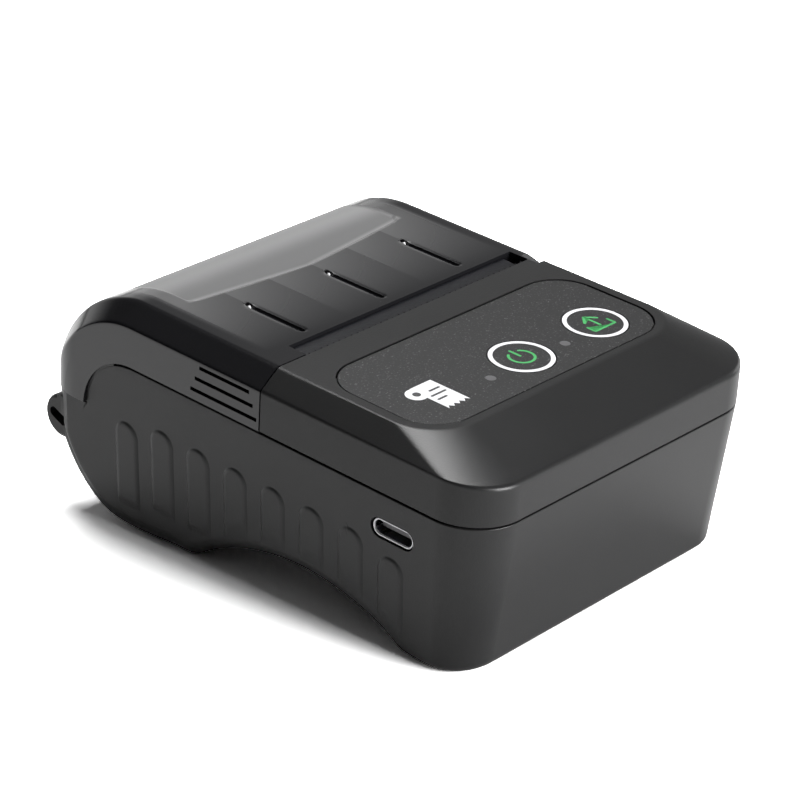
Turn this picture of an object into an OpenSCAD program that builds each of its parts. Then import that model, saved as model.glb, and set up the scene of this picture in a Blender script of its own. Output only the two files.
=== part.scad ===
// Portable thermal receipt printer, in millimetres.
// Case frame: X across, Y to the back, Z square to the parting plane, origin mid case on that plane.
// Table frame: the case frame raised and raked, so that the printer rests on Z = 0.

/* [Case] */
// Room beside the paper bay for cheeks and gears, both sides together
side_room = 16; // [15.8:0.1:18]
// Height of the parting plane above the table at mid length
seam_h = 32.5; // [32:0.1:36]
// Slope of the parting plane, lower at the front, in degrees
rake = 4.05; // [3:0.05:5]
// Height of the top face above the parting plane
top_h = 11.1; // [10.8:0.1:13]
// Height of the parting plane above the paper roll's axis
seam_drop = 12.2; // [12:0.1:13]
// Thickness of the shells
wall = 2; // [1.8:0.1:2.2]
// Gap between parts of the case at a joint line
part_gap = 0.3; // [0.2:0.05:0.4]
// Plan radius of the front corners
corner_r = 9.7; // [9:0.1:11]
// Radius of the rims of the rounded belly
rim_r = 2.5; // [2:0.1:3]
// Plan radius of the rear corners
rear_corner_r = 8; // [7:0.1:9]
// Draft of the lower case's side walls, in degrees
side_draft = 3.3; // [2:0.1:4]
// Draft of the lower case's front wall, in degrees
front_draft = 6; // [4:0.1:7]
// Width of the bevel along the top edges
bevel_w = 4.1; // [3.6:0.1:4.6]
// Height of the bevel along the top edges
bevel_h = 3.2; // [2.8:0.1:3.6]
// Length of the sloping nose in front of the panel
nose_run = 14.1; // [12:0.1:15]
// Plan radius of the nose's upper corners
crest_r = 9.4; // [8.5:0.1:10]

/* [Underside] */
// Length of the arch under the case
arch_span = 51; // [44:0.5:54]
// Height of the arch above the table
arch_rise = 7.7; // [6:0.1:8]
// Middle of the arch, forward of mid case
arch_fwd = 7.6; // [6:0.1:9]
// Radius of a rubber foot
foot_r = 3; // [2.5:0.1:3.2]
// Thickness of a rubber foot
foot_t = 0.7; // [0.6:0.05:0.8]
// How far a rubber foot stands below the case
foot_proud = 0.2; // [0.1:0.05:0.3]
// Distance of the feet from the sides of the case
foot_in = 12.5; // [11.5:0.5:15]

/* [Side ribs] */
// Number of grip ribs on each side
rib_count = 8; // [5:1:8]
// Distance from rib to rib
rib_pitch = 9.1; // [8:0.1:9.2]
// Width of a rib
rib_w = 5.8; // [5:0.1:6.2]
// How far a rib stands out of the wall
rib_proud = 0.45; // [0.3:0.05:0.5]
// Middle of the rearmost rib, behind mid case
rib_first = 30.6; // [28:0.1:31]
// Top of a middle rib below the parting plane
rib_drop = 9.6; // [9:0.1:12]
// How much lower the two end ribs start
rib_end_drop = 1.9; // [1:0.1:3]

/* [Paper] */
// Width of the paper roll
paper_w = 57.5; // [56:0.5:58]
// Clearance between the paper and the bay's cheeks, both sides together
paper_play = 1.5; // [1:0.1:2]
// Offset of the paper path to the right of the centre line
paper_off = 2.5; // [2:0.1:3]
// Thickness of the paper bay's cheeks and front wall
bay_wall = 1.5; // [1.2:0.1:1.6]

/* [Cover] */
// Distance of the cover's front joint line ahead of the roll's hollow
cover_lead = 8.2; // [8:0.1:9]
// Drop of the cover's rear edge below the parting plane
cover_drop = 11.5; // [11:0.1:12]
// Depth of the paper exit, front to back
exit_run = 4.3; // [4:0.1:5]
// Radius of the hinge barrel
barrel_r = 1.8; // [1.6:0.1:2]
// Radius of the hinge pin
hinge_pin_r = 0.8; // [0.7:0.05:0.9]
// Distance of the hinge axis behind the rear wall
hinge_out = 0.5; // [0.4:0.1:0.8]
// Middle of each cover knuckle from the centre line
knuckle_x = 19; // [17:0.5:20]
// Length of a cover knuckle
knuckle_l = 10; // [8:0.5:11]
// Height of a vent slot
vent_h = 0.7; // [0.6:0.05:0.9]
// Distance between the vent slots
vent_pitch = 2.3; // [2:0.05:2.5]
// Distance between the grooves on top of the cover
groove_pitch = 20.1; // [18:0.1:21]
// Length of a groove on top of the cover
groove_l = 14.8; // [12:0.1:15]
// Width of a groove on top of the cover
groove_w = 1.2; // [1:0.1:1.5]

/* [Panel] */
// Distance of the panel's sides from the sides of the case
panel_in = 6.3; // [5.9:0.1:6.7]
// Length of the panel, front to back
panel_len = 26.6; // [25:0.1:30]
// Distance of the panel from the nose's upper edge
panel_lead = 1.65; // [1.4:0.05:2]
// Distance of the panel from the cover's joint line
panel_gap = 7.05; // [6.8:0.05:8]
// Corner radius of the panel
panel_r = 7.8; // [6:0.1:9]
// Thickness of the panel
panel_t = 0.8; // [0.6:0.05:0.9]
// Radius of a key
key_r = 5.95; // [5.5:0.05:6.1]
// Gap around a key
key_gap = 0.15; // [0.12:0.01:0.2]
// Travel of a key
key_travel = 0.4; // [0.3:0.05:0.5]
// Distance of the keys' centres behind the panel's front edge
key_back = 8.75; // [8.2:0.05:9.2]
// Middle of the power key from the centre line
power_x = 0.6; // [0:0.1:1]
// Distance from key to key
key_pitch = 19.9; // [19:0.1:20.2]
// Radius of an indicator window
lamp_r = 1; // [0.8:0.05:1.1]

/* [Print mechanism] */
// Radius of the platen's rubber
platen_r = 4; // [3.8:0.05:4.1]
// Radius of the platen's shaft
shaft_r = 1.5; // [1.3:0.05:1.6]
// Distance of the platen's axis behind the cover's front joint line
platen_back = 7.7; // [7.6:0.05:7.9]
// Height of the platen's axis above the parting plane
platen_z = 3.6; // [3.4:0.05:3.8]
// Running clearance of shafts in their bores
run_fit = 0.05; // [0.03:0.01:0.08]
// Gap between the thermal head and the platen
nip = 0.3; // [0.25:0.05:0.4]
// Module of the gears
gear_m = 0.4; // [0.38:0.01:0.4]
// Teeth of the motor pinion
pinion_n = 10; // [10:1:11]
// Teeth of the reduction gear's large wheel
wheel_n = 28; // [26:1:28]
// Teeth of the reduction gear's small wheel
small_n = 12; // [12:1:13]
// Teeth of the idler
idler_n = 22; // [20:1:22]
// Teeth of the platen gear
platen_n = 21; // [20:1:21]
// Radius of the motor
motor_r = 6.5; // [6:0.1:6.6]
// Length of the motor
motor_l = 13; // [10:0.5:15]

/* [Electronics] */
// Distance of the battery from the front wall
battery_lead = 8.4; // [8:0.1:12]
// Distance of the battery from each side of the case
battery_in = 12.5; // [12.5:0.1:15]
// Thickness of the foam pads between the battery and the main board
pad_t = 2.8; // [1:0.1:4]
// Thickness of the main board
board_t = 1.6; // [1.2:0.1:1.6]
// Distance of the socket behind the front wall
usb_back = 18.8; // [18:0.1:19.2]
// Drop of the socket's axis below the parting plane
usb_drop = 6.8; // [6.6:0.1:7.2]
// Width of the socket's shell
usb_w = 8.94; // [8.8:0.02:9]
// Height of the socket's shell
usb_h = 3.26; // [3.1:0.02:3.3]

/* [Lanyard lug] */
// Radius of the lug's nose
lug_r = 4.2; // [3.8:0.1:4.4]
// Thickness of the lug
lug_t = 4; // [3.5:0.1:4.5]
// Length of the lug's slot
slot_l = 4.6; // [4:0.1:4.8]
// Width of the lug's slot
slot_w = 2; // [1.6:0.1:2.2]

/* [Hidden] */
$fn = 48;
arc_steps = 8;
eps = 0.01;
big = 200;

body_r = seam_drop + top_h;
bay_w = paper_w + paper_play;
case_w = bay_w + side_room;
half_w = case_w / 2;
case_len = nose_run + panel_lead + panel_len + panel_gap + cover_lead + 2 * body_r;
front_y = -case_len / 2;
rear_y = case_len / 2;
roll_y = rear_y - body_r;
roll_z = -seam_drop;
edge_h = top_h - bevel_h;
cover_y = roll_y - body_r - cover_lead;
joint = part_gap / 2;
hinge_y = rear_y + hinge_out;
hinge_z = -cover_drop;
bay_x0 = paper_off - bay_w / 2;
bay_x1 = paper_off + bay_w / 2;

front_reach = front_y * cos(rake) - edge_h * sin(rake);
rear_reach = hinge_y * cos(rake) - hinge_z * sin(rake) + barrel_r;
y_shift = -(front_reach + rear_reach) / 2;
arch_r = (pow(arch_span / 2, 2) + arch_rise * arch_rise) / (2 * arch_rise);

panel_hw = half_w - panel_in;
panel_mid_y = cover_y - panel_gap - panel_len / 2;
panel_top = top_h - 0.1;
roof_z = top_h - wall;

platen_y = cover_y + platen_back;
mesh_play = 0.06;
idler_way = 220;
reduction_way = 202;
motor_way = 160;
idler_at = step_from([platen_y, platen_z], mesh_distance(platen_n, idler_n), idler_way);
reduction_at = step_from(idler_at, mesh_distance(idler_n, small_n), reduction_way);
motor_at = step_from(reduction_at, mesh_distance(wheel_n, pinion_n), motor_way);
idler_phase = mate_phase(0, platen_n, idler_way, idler_n);
small_phase = mate_phase(idler_phase, idler_n, reduction_way, small_n);
pinion_phase = mate_phase(0, wheel_n, motor_way, pinion_n);

plate_t = 1.7;
plate_l_x = bay_x0 - 0.5 - plate_t;
plate_r_x = bay_x1 + 0.3;
gear_t = 1.6;
gear_in_x = plate_l_x - 0.6 - gear_t;
gear_out_x = gear_in_x - 0.3 - gear_t;
arm_l_x = gear_out_x - 0.4;
arm_r_x = plate_r_x + plate_t + 0.4;
frame_floor = -11;
frame_rear = platen_y + 4.4;
frame_foot = roll_y - body_r + wall - bay_wall - 0.4;
head_y = platen_y - platen_r - nip;
ceramic_t = 1;
sink_t = 2;
sink_y = head_y - ceramic_t - sink_t;
pivot_z = -7.7;
pivot_r = 1;
spring_z = 1;
spring_seat = sink_y - 4.9;
bush_r = 2.6;

usb_y = front_y + usb_back;
usb_mouth = -half_w + 1.1;
board_z = -usb_drop - usb_h / 2 - board_t;
board_top = board_z + board_t;
board_x0 = -half_w + 4.3;
board_x1 = half_w - 7.3;
board_y0 = front_y + 10.9;
board_y1 = motor_at[0] - motor_r - 2.5;
battery_x = 0.8;
battery_w = case_w - 2 * battery_in;
battery_y0 = front_y + battery_lead;
battery_y1 = sink_y - 7.4;
key_board_z = 0.6;
key_board_t = 1.2;
switch_h = 3.3;
key_y = panel_mid_y - panel_len / 2 + key_back;
lamp_y = key_y - 1.7;
lamp_x = [power_x - key_pitch / 2 - 0.1, power_x + key_pitch / 2 - 0.4];
key_floor = roof_z - 0.3;

lug_y = rear_y - 2.5;
lug_z = roll_z - 6.2;
lug_x = -half_w + 2.2;

side_screw_y = motor_at[0] - 5.6;
case_screw_at = [for (s = [-1, 1], p = [[half_w - 7.5, front_y + 7.6], [half_w - 4.9, side_screw_y]])
    [s * p[0], p[1]]];
board_screw_at = [for (x = [board_x0 + 6.2, board_x1 - 2], y = [board_y0 + 2, board_y1 - 1.9]) [x, y]];
frame_screw_at = [[bay_x0 + 4, sink_y - 2.9], [bay_x1 - 3.5, sink_y - 2.9]];
key_post_at = [[power_x - 14, key_y - 2], [power_x + 29.2, key_y - 2]];
feet_at = [for (s = [-1, 1], y = [front_y + 13.3, roll_y - 7.2]) [s * (half_w - foot_in), y]];
spring_at = [paper_off - 14.5, paper_off + 14.5];
axle_r = 0.8;
motor_shaft_r = 0.75;
case_shank_r = 1.1;
board_shank_r = 0.9;

black = "#1b1c1e";
smoke = "#2a2b2e";
steel = "#b9bcc0";
white = "#e8e6df";

// A point at a distance and a direction from another, in the side view
function step_from(p, d, way) = [p[0] + d * cos(way), p[1] + d * sin(way)];

// Centre distance of two meshed gears
function mesh_distance(a, b) = gear_m * (a + b) / 2 + mesh_play;

// Phase of a gear of n teeth so that it meshes with a gear of m teeth and the given phase
function mate_phase(phase, m, way, n) = way + 180 - (phase - way) * m / n + 180 / n;

// Points of an elliptic arc
function arc(cx, cy, rx, ry, a0, a1, n = arc_steps) =
    [for (i = [0:n]) let (a = a0 + (a1 - a0) * i / n) [cx + rx * cos(a), cy + ry * sin(a)]];

// Plan outline of the case at a depth below the parting plane, drawn in by an inset
function plan_points(inset, depth) =
    let (sx = inset + depth * tan(side_draft), sf = inset + depth * tan(front_draft),
         hw = half_w, rx = max(corner_r - sx, 0.5), ry = max(corner_r - sf, 0.5),
         qx = max(rear_corner_r - sx, 0.5), qy = max(rear_corner_r - inset, 0.5))
    concat(arc(hw - sx - rx, front_y + sf + ry, rx, ry, -90, 0),
           arc(hw - sx - qx, rear_y - inset - qy, qx, qy, 0, 90),
           arc(-hw + sx + qx, rear_y - inset - qy, qx, qy, 90, 180),
           arc(-hw + sx + rx, front_y + sf + ry, rx, ry, 180, 270));

// Plan outline of the flat top of the front part
function crest_points(inset) =
    let (hw = half_w - bevel_w - inset / 3, y0 = front_y + nose_run + inset / 8)
    concat(arc(hw - crest_r, y0 + crest_r, crest_r, crest_r, -90, 0), [[hw, cover_y + 5], [-hw, cover_y + 5]],
           arc(-hw + crest_r, y0 + crest_r, crest_r, crest_r, 180, 270));

// Half section of the cover: radius from the roll's axis against the distance from the centre plane
function cover_section(inset) =
    let (slant = norm([bevel_w, bevel_h]), hw = half_w - inset, r = body_r - inset,
         re = body_r - bevel_h - inset * (slant - bevel_h) / bevel_w,
         bx = half_w - bevel_w - inset * (slant - bevel_w) / bevel_h)
    [[0, -hw], [re, -hw], [r, -bx], [r, bx], [re, hw], [0, hw]];

// Case frame to table frame
module in_case() {
    translate([0, y_shift, seam_h]) rotate([rake, 0, 0]) children();
}

// A drawing in the side view, Y across and Z up, carried along X from x0
module along_x(x0, length) {
    translate([x0, 0, 0]) rotate([90, 0, 90]) linear_extrude(length) children();
}

// A rod along X through a point of the side view
module rod_x(at, r, x0, length) {
    translate([x0, at[0], at[1]]) rotate([90, 0, 90]) cylinder(r = r, h = length);
}

// A box from its low corner to its high corner
module block(low, high) {
    translate(low) cube(high - low);
}

// A stadium in the side view, round at both ends
module stadium(w, h) {
    square([w - h, h], center = true);
    for (s = [-1, 1]) translate([s * (w - h) / 2, 0]) circle(d = h);
}

// Outline of the panel, grown by a margin
module panel_outline(grow) {
    hw = panel_hw + grow;
    hl = panel_len / 2 + grow;
    r = panel_r + grow;
    translate([0, panel_mid_y]) polygon(concat(
        arc(hw - r, -hl + r, r, r, -90, 0), arc(hw - r, hl - r, r, r, 0, 90),
        arc(-hw + r, hl - r, r, r, 90, 180), arc(-hw + r, -hl + r, r, r, 180, 270)));
}

// A spur gear in the side view, with tapered teeth
module gear(n, phase) {
    r = gear_m * n / 2;
    tip = r + 0.85 * gear_m;
    root = r - 1.15 * gear_m;
    half = 90 / n * 0.78;
    slope = 180 / PI * tan(20) / r;
    rotate(phase) polygon([for (i = [0:n - 1], k = [0:3])
        let (a = 360 * i / n, s = k < 2 ? -1 : 1, high = k == 1 || k == 2,
             h = high ? half - slope * (tip - r) : half + slope * (r - root) * 0.6)
        (high ? tip : root) * [cos(a + s * h), sin(a + s * h)]]);
}

// A pan head screw, head down, shank up, with its seat at the origin
module screw(head_r, head_h, shank_r, length) {
    translate([0, 0, -head_h]) cylinder(r = head_r, h = head_h);
    translate([0, 0, -eps]) cylinder(r = shank_r, h = length + eps);
}

// Tapered prism under the parting plane, with a straight top part where it is a cavity
module draft_prism(inset) {
    depth = 40;
    hull() {
        translate([0, 0, -eps]) linear_extrude(eps) polygon(plan_points(inset, 0));
        translate([0, 0, -depth]) linear_extrude(eps) polygon(plan_points(inset, depth));
    }
    if (inset > 0) translate([0, 0, -2 * eps]) linear_extrude(6) polygon(plan_points(inset, 0));
}

// Rear drum about the roll's axis, with rounded rims on the outside
module drum(inset) {
    hw = half_w - 2;
    rim = [[0, hw + 2.2], [body_r - 5.3, hw + 2.2]];
    if (inset > 0) rod_x([roll_y, roll_z], body_r - inset, -big / 2, big);
    else translate([0, roll_y, roll_z]) rotate([0, 90, 0]) rotate_extrude($fn = 96)
        polygon(concat([for (p = rim) [p[0], -p[1]]], arc(body_r - rim_r, -hw + rim_r, rim_r, rim_r, -90, 0),
                       arc(body_r - rim_r, hw - rim_r, rim_r, rim_r, 0, 90), [rim[1], rim[0]]));
}

// Side view mass of the lower case: front part, rear drum and the rounded ears beside the bay
module side_mass(inset) {
    top = inset > 0 ? 5 : -joint;
    block([-big, -big, -big], [big, roll_y, top]);
    intersection() {
        drum(inset);
        block([-big, -big, -big], [big, big, -cover_drop - joint - inset]);
    }
    intersection() {
        rod_x([roll_y, roll_z], seam_drop - joint - inset, -big / 2, big);
        block([-big, roll_y - 1, -big], [big, big, inset > 0 ? big : -joint]);
    }
}

// Everything below the floor of the case, raised by an inset: the table and the arch
module under_floor(inset) {
    block([-big, -big, -big], [big, big, foot_proud + inset]);
    translate([0, y_shift - arch_fwd, 0]) rod_x([0, arch_rise - arch_r], arch_r + inset, -big / 2, big);
}

// Outer mass of the lower case, or its cavity when drawn in
module case_mass(inset) {
    difference() {
        in_case() intersection() {
            draft_prism(inset);
            side_mass(inset);
        }
        under_floor(inset);
    }
}

// Grip ribs on one side wall, laid on the drafted wall
module side_ribs(side) {
    for (i = [0:rib_count - 1]) {
        drop = rib_drop + (i == 0 || i == rib_count - 1 ? rib_end_drop : 0);
        mirror([side > 0 ? 0 : 1, 0, 0])
            translate([case_w / 2, rib_first - i * rib_pitch, 0]) rotate([0, side_draft, 0])
                along_x(-1, 1 + rib_proud) {
                    translate([0, -drop - rib_w / 2]) circle(d = rib_w);
                    translate([-rib_w / 2, -drop - rib_w / 2 - 14]) square([rib_w, 14]);
                }
    }
}

// Walls that stand inside the lower case
module inner_walls() {
    in_case() {
        for (x = [bay_x0 - bay_wall, bay_x1])
            intersection() {
                block([x, frame_rear + 0.5, -big], [x + bay_wall, big, -joint]);
                side_mass(0);
            }
        difference() {
            intersection() {
                rod_x([roll_y, roll_z], body_r - wall + bay_wall, bay_x0 - bay_wall, bay_w + 2 * bay_wall);
                block([-big, -big, -big], [big, roll_y, -4]);
            }
            rod_x([roll_y, roll_z], body_r - wall, -big / 2, big);
        }
        for (p = case_screw_at) translate([p[0], p[1], -big]) cylinder(r = 2.9, h = big - joint);
        for (p = board_screw_at) translate([p[0], p[1], -big]) cylinder(r = 2, h = big + board_z);
        for (p = frame_screw_at) translate([p[0], p[1], -big]) cylinder(r = 2.5, h = big + frame_floor);
        for (x = [-22.8, 17.2])
            block([battery_x + x, board_y0 - 1, -big], [battery_x + x + 1.2, sink_y - 7, battery_z()]);
        block([lug_x, lug_y - 6, lug_z - 5], [bay_x0 - bay_wall, lug_y + 0.5, lug_z + 5]);
    }
}

// Underside of the battery, just clear of the arch
function battery_z() =
    (arch_rise + wall + 0.4 - seam_h + arch_fwd * sin(rake)) / cos(rake);

// Opening of the socket in the side wall
module usb_opening() {
    translate([0, usb_y, -usb_drop]) along_x(-half_w - 1, wall + 2.5) stadium(usb_w + 0.6, usb_h + 0.6);
}

// Knuckles along the hinge: the cover's pair, or the case's three when not for the cover
module knuckles(cover, grow) {
    half = knuckle_l / 2;
    play = cover ? 0 : 0.3;
    spans = cover ? [[-knuckle_x - half, knuckle_l], [knuckle_x - half, knuckle_l]]
        : [[-knuckle_x - half - play - 3, 3], [-knuckle_x + half + play, 2 * (knuckle_x - half - play)],
           [knuckle_x + half + play, 3]];
    for (s = spans) rod_x([hinge_y, hinge_z], barrel_r + grow, s[0] - grow, s[1] + 2 * grow);
}

module lower_case() {
    color(black) difference() {
        union() {
            difference() {
                case_mass(0);
                case_mass(wall);
            }
            intersection() {
                inner_walls();
                case_mass(0);
            }
            difference() {
                in_case() for (side = [-1, 1]) side_ribs(side);
                translate([0, 0, 5]) under_floor(0);
                in_case() block([-half_w + 4, -big, -big], [half_w - 4, big, big]);
            }
            in_case() {
                knuckles(false, 0);
                along_x(lug_x, lug_t) {
                    translate([lug_y, lug_z]) circle(r = lug_r);
                    translate([lug_y - 4, lug_z - lug_r]) square([4, 2 * lug_r]);
                }
            }
        }
        in_case() {
            rod_x([roll_y, roll_z], body_r - wall, bay_x0, bay_w);
            block([bay_x0, roll_y - body_r + wall, roll_z + 4], [bay_x1, roll_y, 1]);
            usb_opening();
            knuckles(true, part_gap);
            rod_x([hinge_y, hinge_z], hinge_pin_r + run_fit, -big / 2, big);
            along_x(lug_x - 3, lug_t + 3)
                translate([lug_y + 0.6, lug_z - 0.2]) rotate(22) stadium(slot_l, slot_w);
            translate([lug_x + lug_t + 1.6, rear_y + 0.4, lug_z - 3]) cylinder(r = 2, h = 6);
            for (p = case_screw_at) translate([p[0], p[1], 0]) {
                translate([0, 0, -big]) cylinder(r = 2.2, h = big - 14);
                translate([0, 0, -15]) cylinder(r = 1.25, h = 16);
            }
            for (p = board_screw_at) translate([p[0], p[1], board_z - 6]) cylinder(r = 0.95, h = 7);
            for (p = frame_screw_at) translate([p[0], p[1], frame_floor - 6]) cylinder(r = 1.15, h = 7);
        }
        for (p = feet_at) translate([p[0], p[1] + y_shift, -1]) cylinder(r = foot_r + 0.1, h = 1 + foot_t);
    }
}

// Mass of the front part of the upper case, or its cavity when drawn in
module top_mass(inset) {
    low = inset > 0 ? -1 : joint;
    shoulder = edge_h - 0.6 * inset;
    intersection() {
        union() {
            translate([0, 0, low]) linear_extrude(shoulder - low) polygon(plan_points(inset, 0));
            hull() {
                translate([0, 0, shoulder - eps]) linear_extrude(eps) polygon(plan_points(inset, 0));
                translate([0, 0, top_h - inset - eps]) linear_extrude(eps) polygon(crest_points(inset));
            }
        }
        block([-big, -big, -big], [big, cover_y - joint + (inset > 0 ? 1 : 0), big]);
    }
}

// Finger notch at the right end of the joint between cover and case
module finger_notch() {
    block([bay_x1 - 0.4, cover_y - 2.4, edge_h - 1.2], [big, cover_y + 1.8, big]);
}

module top_case() {
    color(black) in_case() difference() {
        union() {
            difference() {
                top_mass(0);
                top_mass(wall);
            }
            intersection() {
                union() {
                    for (p = case_screw_at) translate([p[0], p[1], joint]) cylinder(r = 2.6, h = big);
                    for (p = key_post_at)
                        translate([p[0], p[1], key_board_z + key_board_t]) cylinder(r = 1.8, h = big);
                }
                top_mass(wall - eps);
            }
        }
        translate([0, 0, panel_top - panel_t]) linear_extrude(5) panel_outline(0.2);
        for (i = [0, 1]) {
            translate([power_x + i * key_pitch, key_y, 0]) cylinder(r = key_r + key_gap + 0.1, h = big);
            translate([lamp_x[i], lamp_y, 0]) cylinder(r = lamp_r + 0.1, h = big);
        }
        for (p = case_screw_at) translate([p[0], p[1], -1]) cylinder(r = 1.15, h = 7);
        for (p = key_post_at) translate([p[0], p[1], 0]) cylinder(r = 0.95, h = 6);
        finger_notch();
    }
}

module control_panel() {
    color("#2b2c2f") in_case() difference() {
        translate([0, 0, panel_top - panel_t]) linear_extrude(panel_t) panel_outline(0);
        for (i = [0, 1]) {
            translate([power_x + i * key_pitch, key_y, 0]) cylinder(r = key_r + key_gap, h = big);
            translate([lamp_x[i], lamp_y, 0]) cylinder(r = lamp_r, h = big);
        }
    }
}

// A flush round key with its retaining flange and stem
module key(i) {
    stem_z = key_board_z + key_board_t + switch_h + 0.8;
    in_case() translate([power_x + i * key_pitch, key_y, 0]) {
        translate([0, 0, key_floor - 0.8]) cylinder(r = key_r, h = panel_top - key_floor + 0.8);
        translate([0, 0, key_floor - 0.8]) cylinder(r = key_r + 0.9, h = 0.8);
        translate([0, 0, stem_z]) cylinder(r = 1.4, h = key_floor - stem_z);
    }
}

module power_key() {
    color("#2b2c2f") key(0);
}

module feed_key() {
    color("#2b2c2f") key(1);
}

module light_pipes() {
    color("#8d9094") in_case() for (x = lamp_x) translate([x, lamp_y, 0]) {
        translate([0, 0, 3.2]) cylinder(r = lamp_r - 0.05, h = panel_top - 3.2);
        translate([0, 0, roof_z - 0.7]) cylinder(r = lamp_r + 0.6, h = 0.7);
    }
}

// Mass of the cover, or its cavity when drawn in
module cover_mass(inset) {
    intersection() {
        union() {
            intersection() {
                translate([0, roll_y, roll_z]) rotate([0, 90, 0]) rotate_extrude($fn = 96)
                    polygon(cover_section(inset));
                block([-big, roll_y - 0.5, -cover_drop + joint - (inset > 0 ? 1 : 0)], [big, big, big]);
            }
            intersection() {
                translate([0, roll_y, roll_z]) rotate([90, 0, 0])
                    linear_extrude(roll_y - cover_y - joint + (inset > 0 ? 1 : 0))
                        polygon([for (p = cover_section(inset)) [p[1], p[0]]]);
                block([-big, -big, inset > 0 ? -1 : joint], [big, big, big]);
            }
        }
        translate([0, 0, -big / 2]) linear_extrude(big) polygon(plan_points(inset, 0));
    }
}

// Groove on top of the cover, with round ends
module top_groove(x) {
    translate([x, platen_y - 1 + groove_l / 2, top_h - 0.9]) rotate(90)
        linear_extrude(5) stadium(groove_l, groove_w);
}

// Row of vent slots through both sides of the cover, the lowest the longest
module vent_slots() {
    for (i = [0:2], s = [-1, 1])
        translate([s * half_w, cover_y, edge_h - 1.25 - i * vent_pitch - vent_h / 2])
            block([-4, 2.6 - i * 0.95, 0], [4, 14.6 + i * 1.05, vent_h]);
}

module paper_cover() {
    arm_r = 3.2;
    rib_t = 0.6;
    color(smoke) in_case() difference() {
        union() {
            difference() {
                cover_mass(0);
                cover_mass(wall);
            }
            for (span = [[-half_w + wall - 0.2, arm_l_x], [arm_r_x, half_w - wall + 0.2]])
                along_x(span[0], span[1] - span[0]) {
                    translate([platen_y, platen_z]) circle(r = arm_r);
                    translate([platen_y - arm_r, platen_z]) square([2 * arm_r, edge_h + 0.2 - platen_z]);
                }
            for (s = [-1, 1])
                translate([s * groove_pitch / 2, 0, roof_z])
                    block([-rib_t, platen_y + 1.4, -1], [rib_t, roll_y - 9, 0.5]);
            knuckles(true, 0);
        }
        rod_x([roll_y, roll_z], seam_drop + joint, -big / 2, big);
        block([bay_x0 + 0.5, cover_y - 1, platen_z + 2], [bay_x1 - 0.5, cover_y + exit_run, big]);
        finger_notch();
        knuckles(false, part_gap);
        rod_x([hinge_y, hinge_z], hinge_pin_r + run_fit, -big / 2, big);
        rod_x([platen_y, platen_z], shaft_r + run_fit, -half_w + wall + 0.3, case_w - 2 * wall - 0.6);
        vent_slots();
        for (i = [-1, 0, 1]) top_groove(i * groove_pitch);
    }
}

module hinge_pin() {
    half = knuckle_x + knuckle_l / 2 + 3;
    color(steel) in_case() rod_x([hinge_y, hinge_z], hinge_pin_r, -half, 2 * half);
}

module platen_rubber() {
    color("#26282b") in_case() difference() {
        rod_x([platen_y, platen_z], platen_r, bay_x0 + 0.2, bay_w - 0.4);
        rod_x([platen_y, platen_z], shaft_r, -big / 2, big);
    }
}

module platen_shaft() {
    x0 = -half_w + wall + 0.5;
    color(steel) in_case() rod_x([platen_y, platen_z], shaft_r, x0, -2 * x0);
}

module platen_gear() {
    color(white) in_case() translate([0, platen_y, platen_z]) difference() {
        union() {
            along_x(gear_in_x, gear_t) gear(platen_n, 0);
            rod_x([0, 0], 2.3, gear_out_x, gear_t + 0.4);
        }
        rod_x([0, 0], shaft_r, -big / 2, big);
    }
}

module platen_bushes() {
    color(white) in_case() for (x = [plate_l_x - 0.2, plate_r_x - 0.1]) difference() {
        rod_x([platen_y, platen_z], bush_r, x, plate_t + 0.3);
        rod_x([platen_y, platen_z], shaft_r + run_fit, -big / 2, big);
    }
}

// Notch in a cheek of the frame, open towards the bush's way out
module bush_notch() {
    clear = bush_r + 0.3;
    translate([platen_y, platen_z]) {
        circle(r = clear);
        for (lean = [0, -12, -26]) rotate(lean) translate([-clear, 0]) square([2 * clear, 12]);
    }
}

// Cheek of the frame in the side view, from a front edge to just short of the bay's wall
module cheek(front) {
    top = platen_z + 3.9;
    polygon([[front, frame_floor], [frame_foot, frame_floor], [frame_foot, -3.4], [frame_rear, -3.4],
             [frame_rear, platen_z + 1.5], [platen_y, platen_z + 1.5], [platen_y, top], [front, top]]);
}

module print_frame() {
    color("#3a3d42") in_case() difference() {
        union() {
            along_x(plate_l_x, plate_t) difference() {
                cheek(motor_at[0] - motor_r - 0.5);
                bush_notch();
            }
            along_x(plate_r_x, plate_t) difference() {
                cheek(spring_seat - 1.2);
                bush_notch();
            }
            translate([plate_l_x, 0, frame_floor]) {
                block([0, spring_seat - 1.2, 0], [plate_r_x + plate_t - plate_l_x, frame_foot, 1.5]);
                block([0, spring_seat - 1.2, 0], [plate_r_x + plate_t - plate_l_x, spring_seat, 15]);
            }
        }
        rod_x([sink_y + sink_t / 2, pivot_z], pivot_r + run_fit, -big / 2, big);
        rod_x(motor_at, 2 * axle_r, -big / 2, big / 2);
        rod_x(reduction_at, axle_r, -big / 2, big / 2);
        rod_x(idler_at, axle_r, -big / 2, big / 2);
        for (p = frame_screw_at) translate([p[0], p[1], frame_floor - 1]) cylinder(r = 1.25, h = 4);
    }
}

module heat_sink() {
    pin = [sink_y + sink_t / 2, pivot_z];
    x0 = bay_x0 + 0.1;
    color("#a7abb0") in_case() difference() {
        union() {
            block([x0, sink_y, pivot_z], [x0 + bay_w - 0.2, sink_y + sink_t, platen_z + 3.4]);
            rod_x(pin, 1.6, x0, bay_w - 0.2);
            for (x = spring_at)
                translate([x, sink_y - 1, spring_z]) rotate([-90, 0, 0]) cylinder(r = 1.1, h = 1.5);
        }
        rod_x(pin, pivot_r + run_fit, -big / 2, big);
    }
}

module thermal_head() {
    x0 = bay_x0 + 0.4;
    color("#6b4a33") in_case()
        block([x0, head_y - ceramic_t, -3.4], [x0 + bay_w - 0.8, head_y, platen_z + 2.4]);
}

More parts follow.
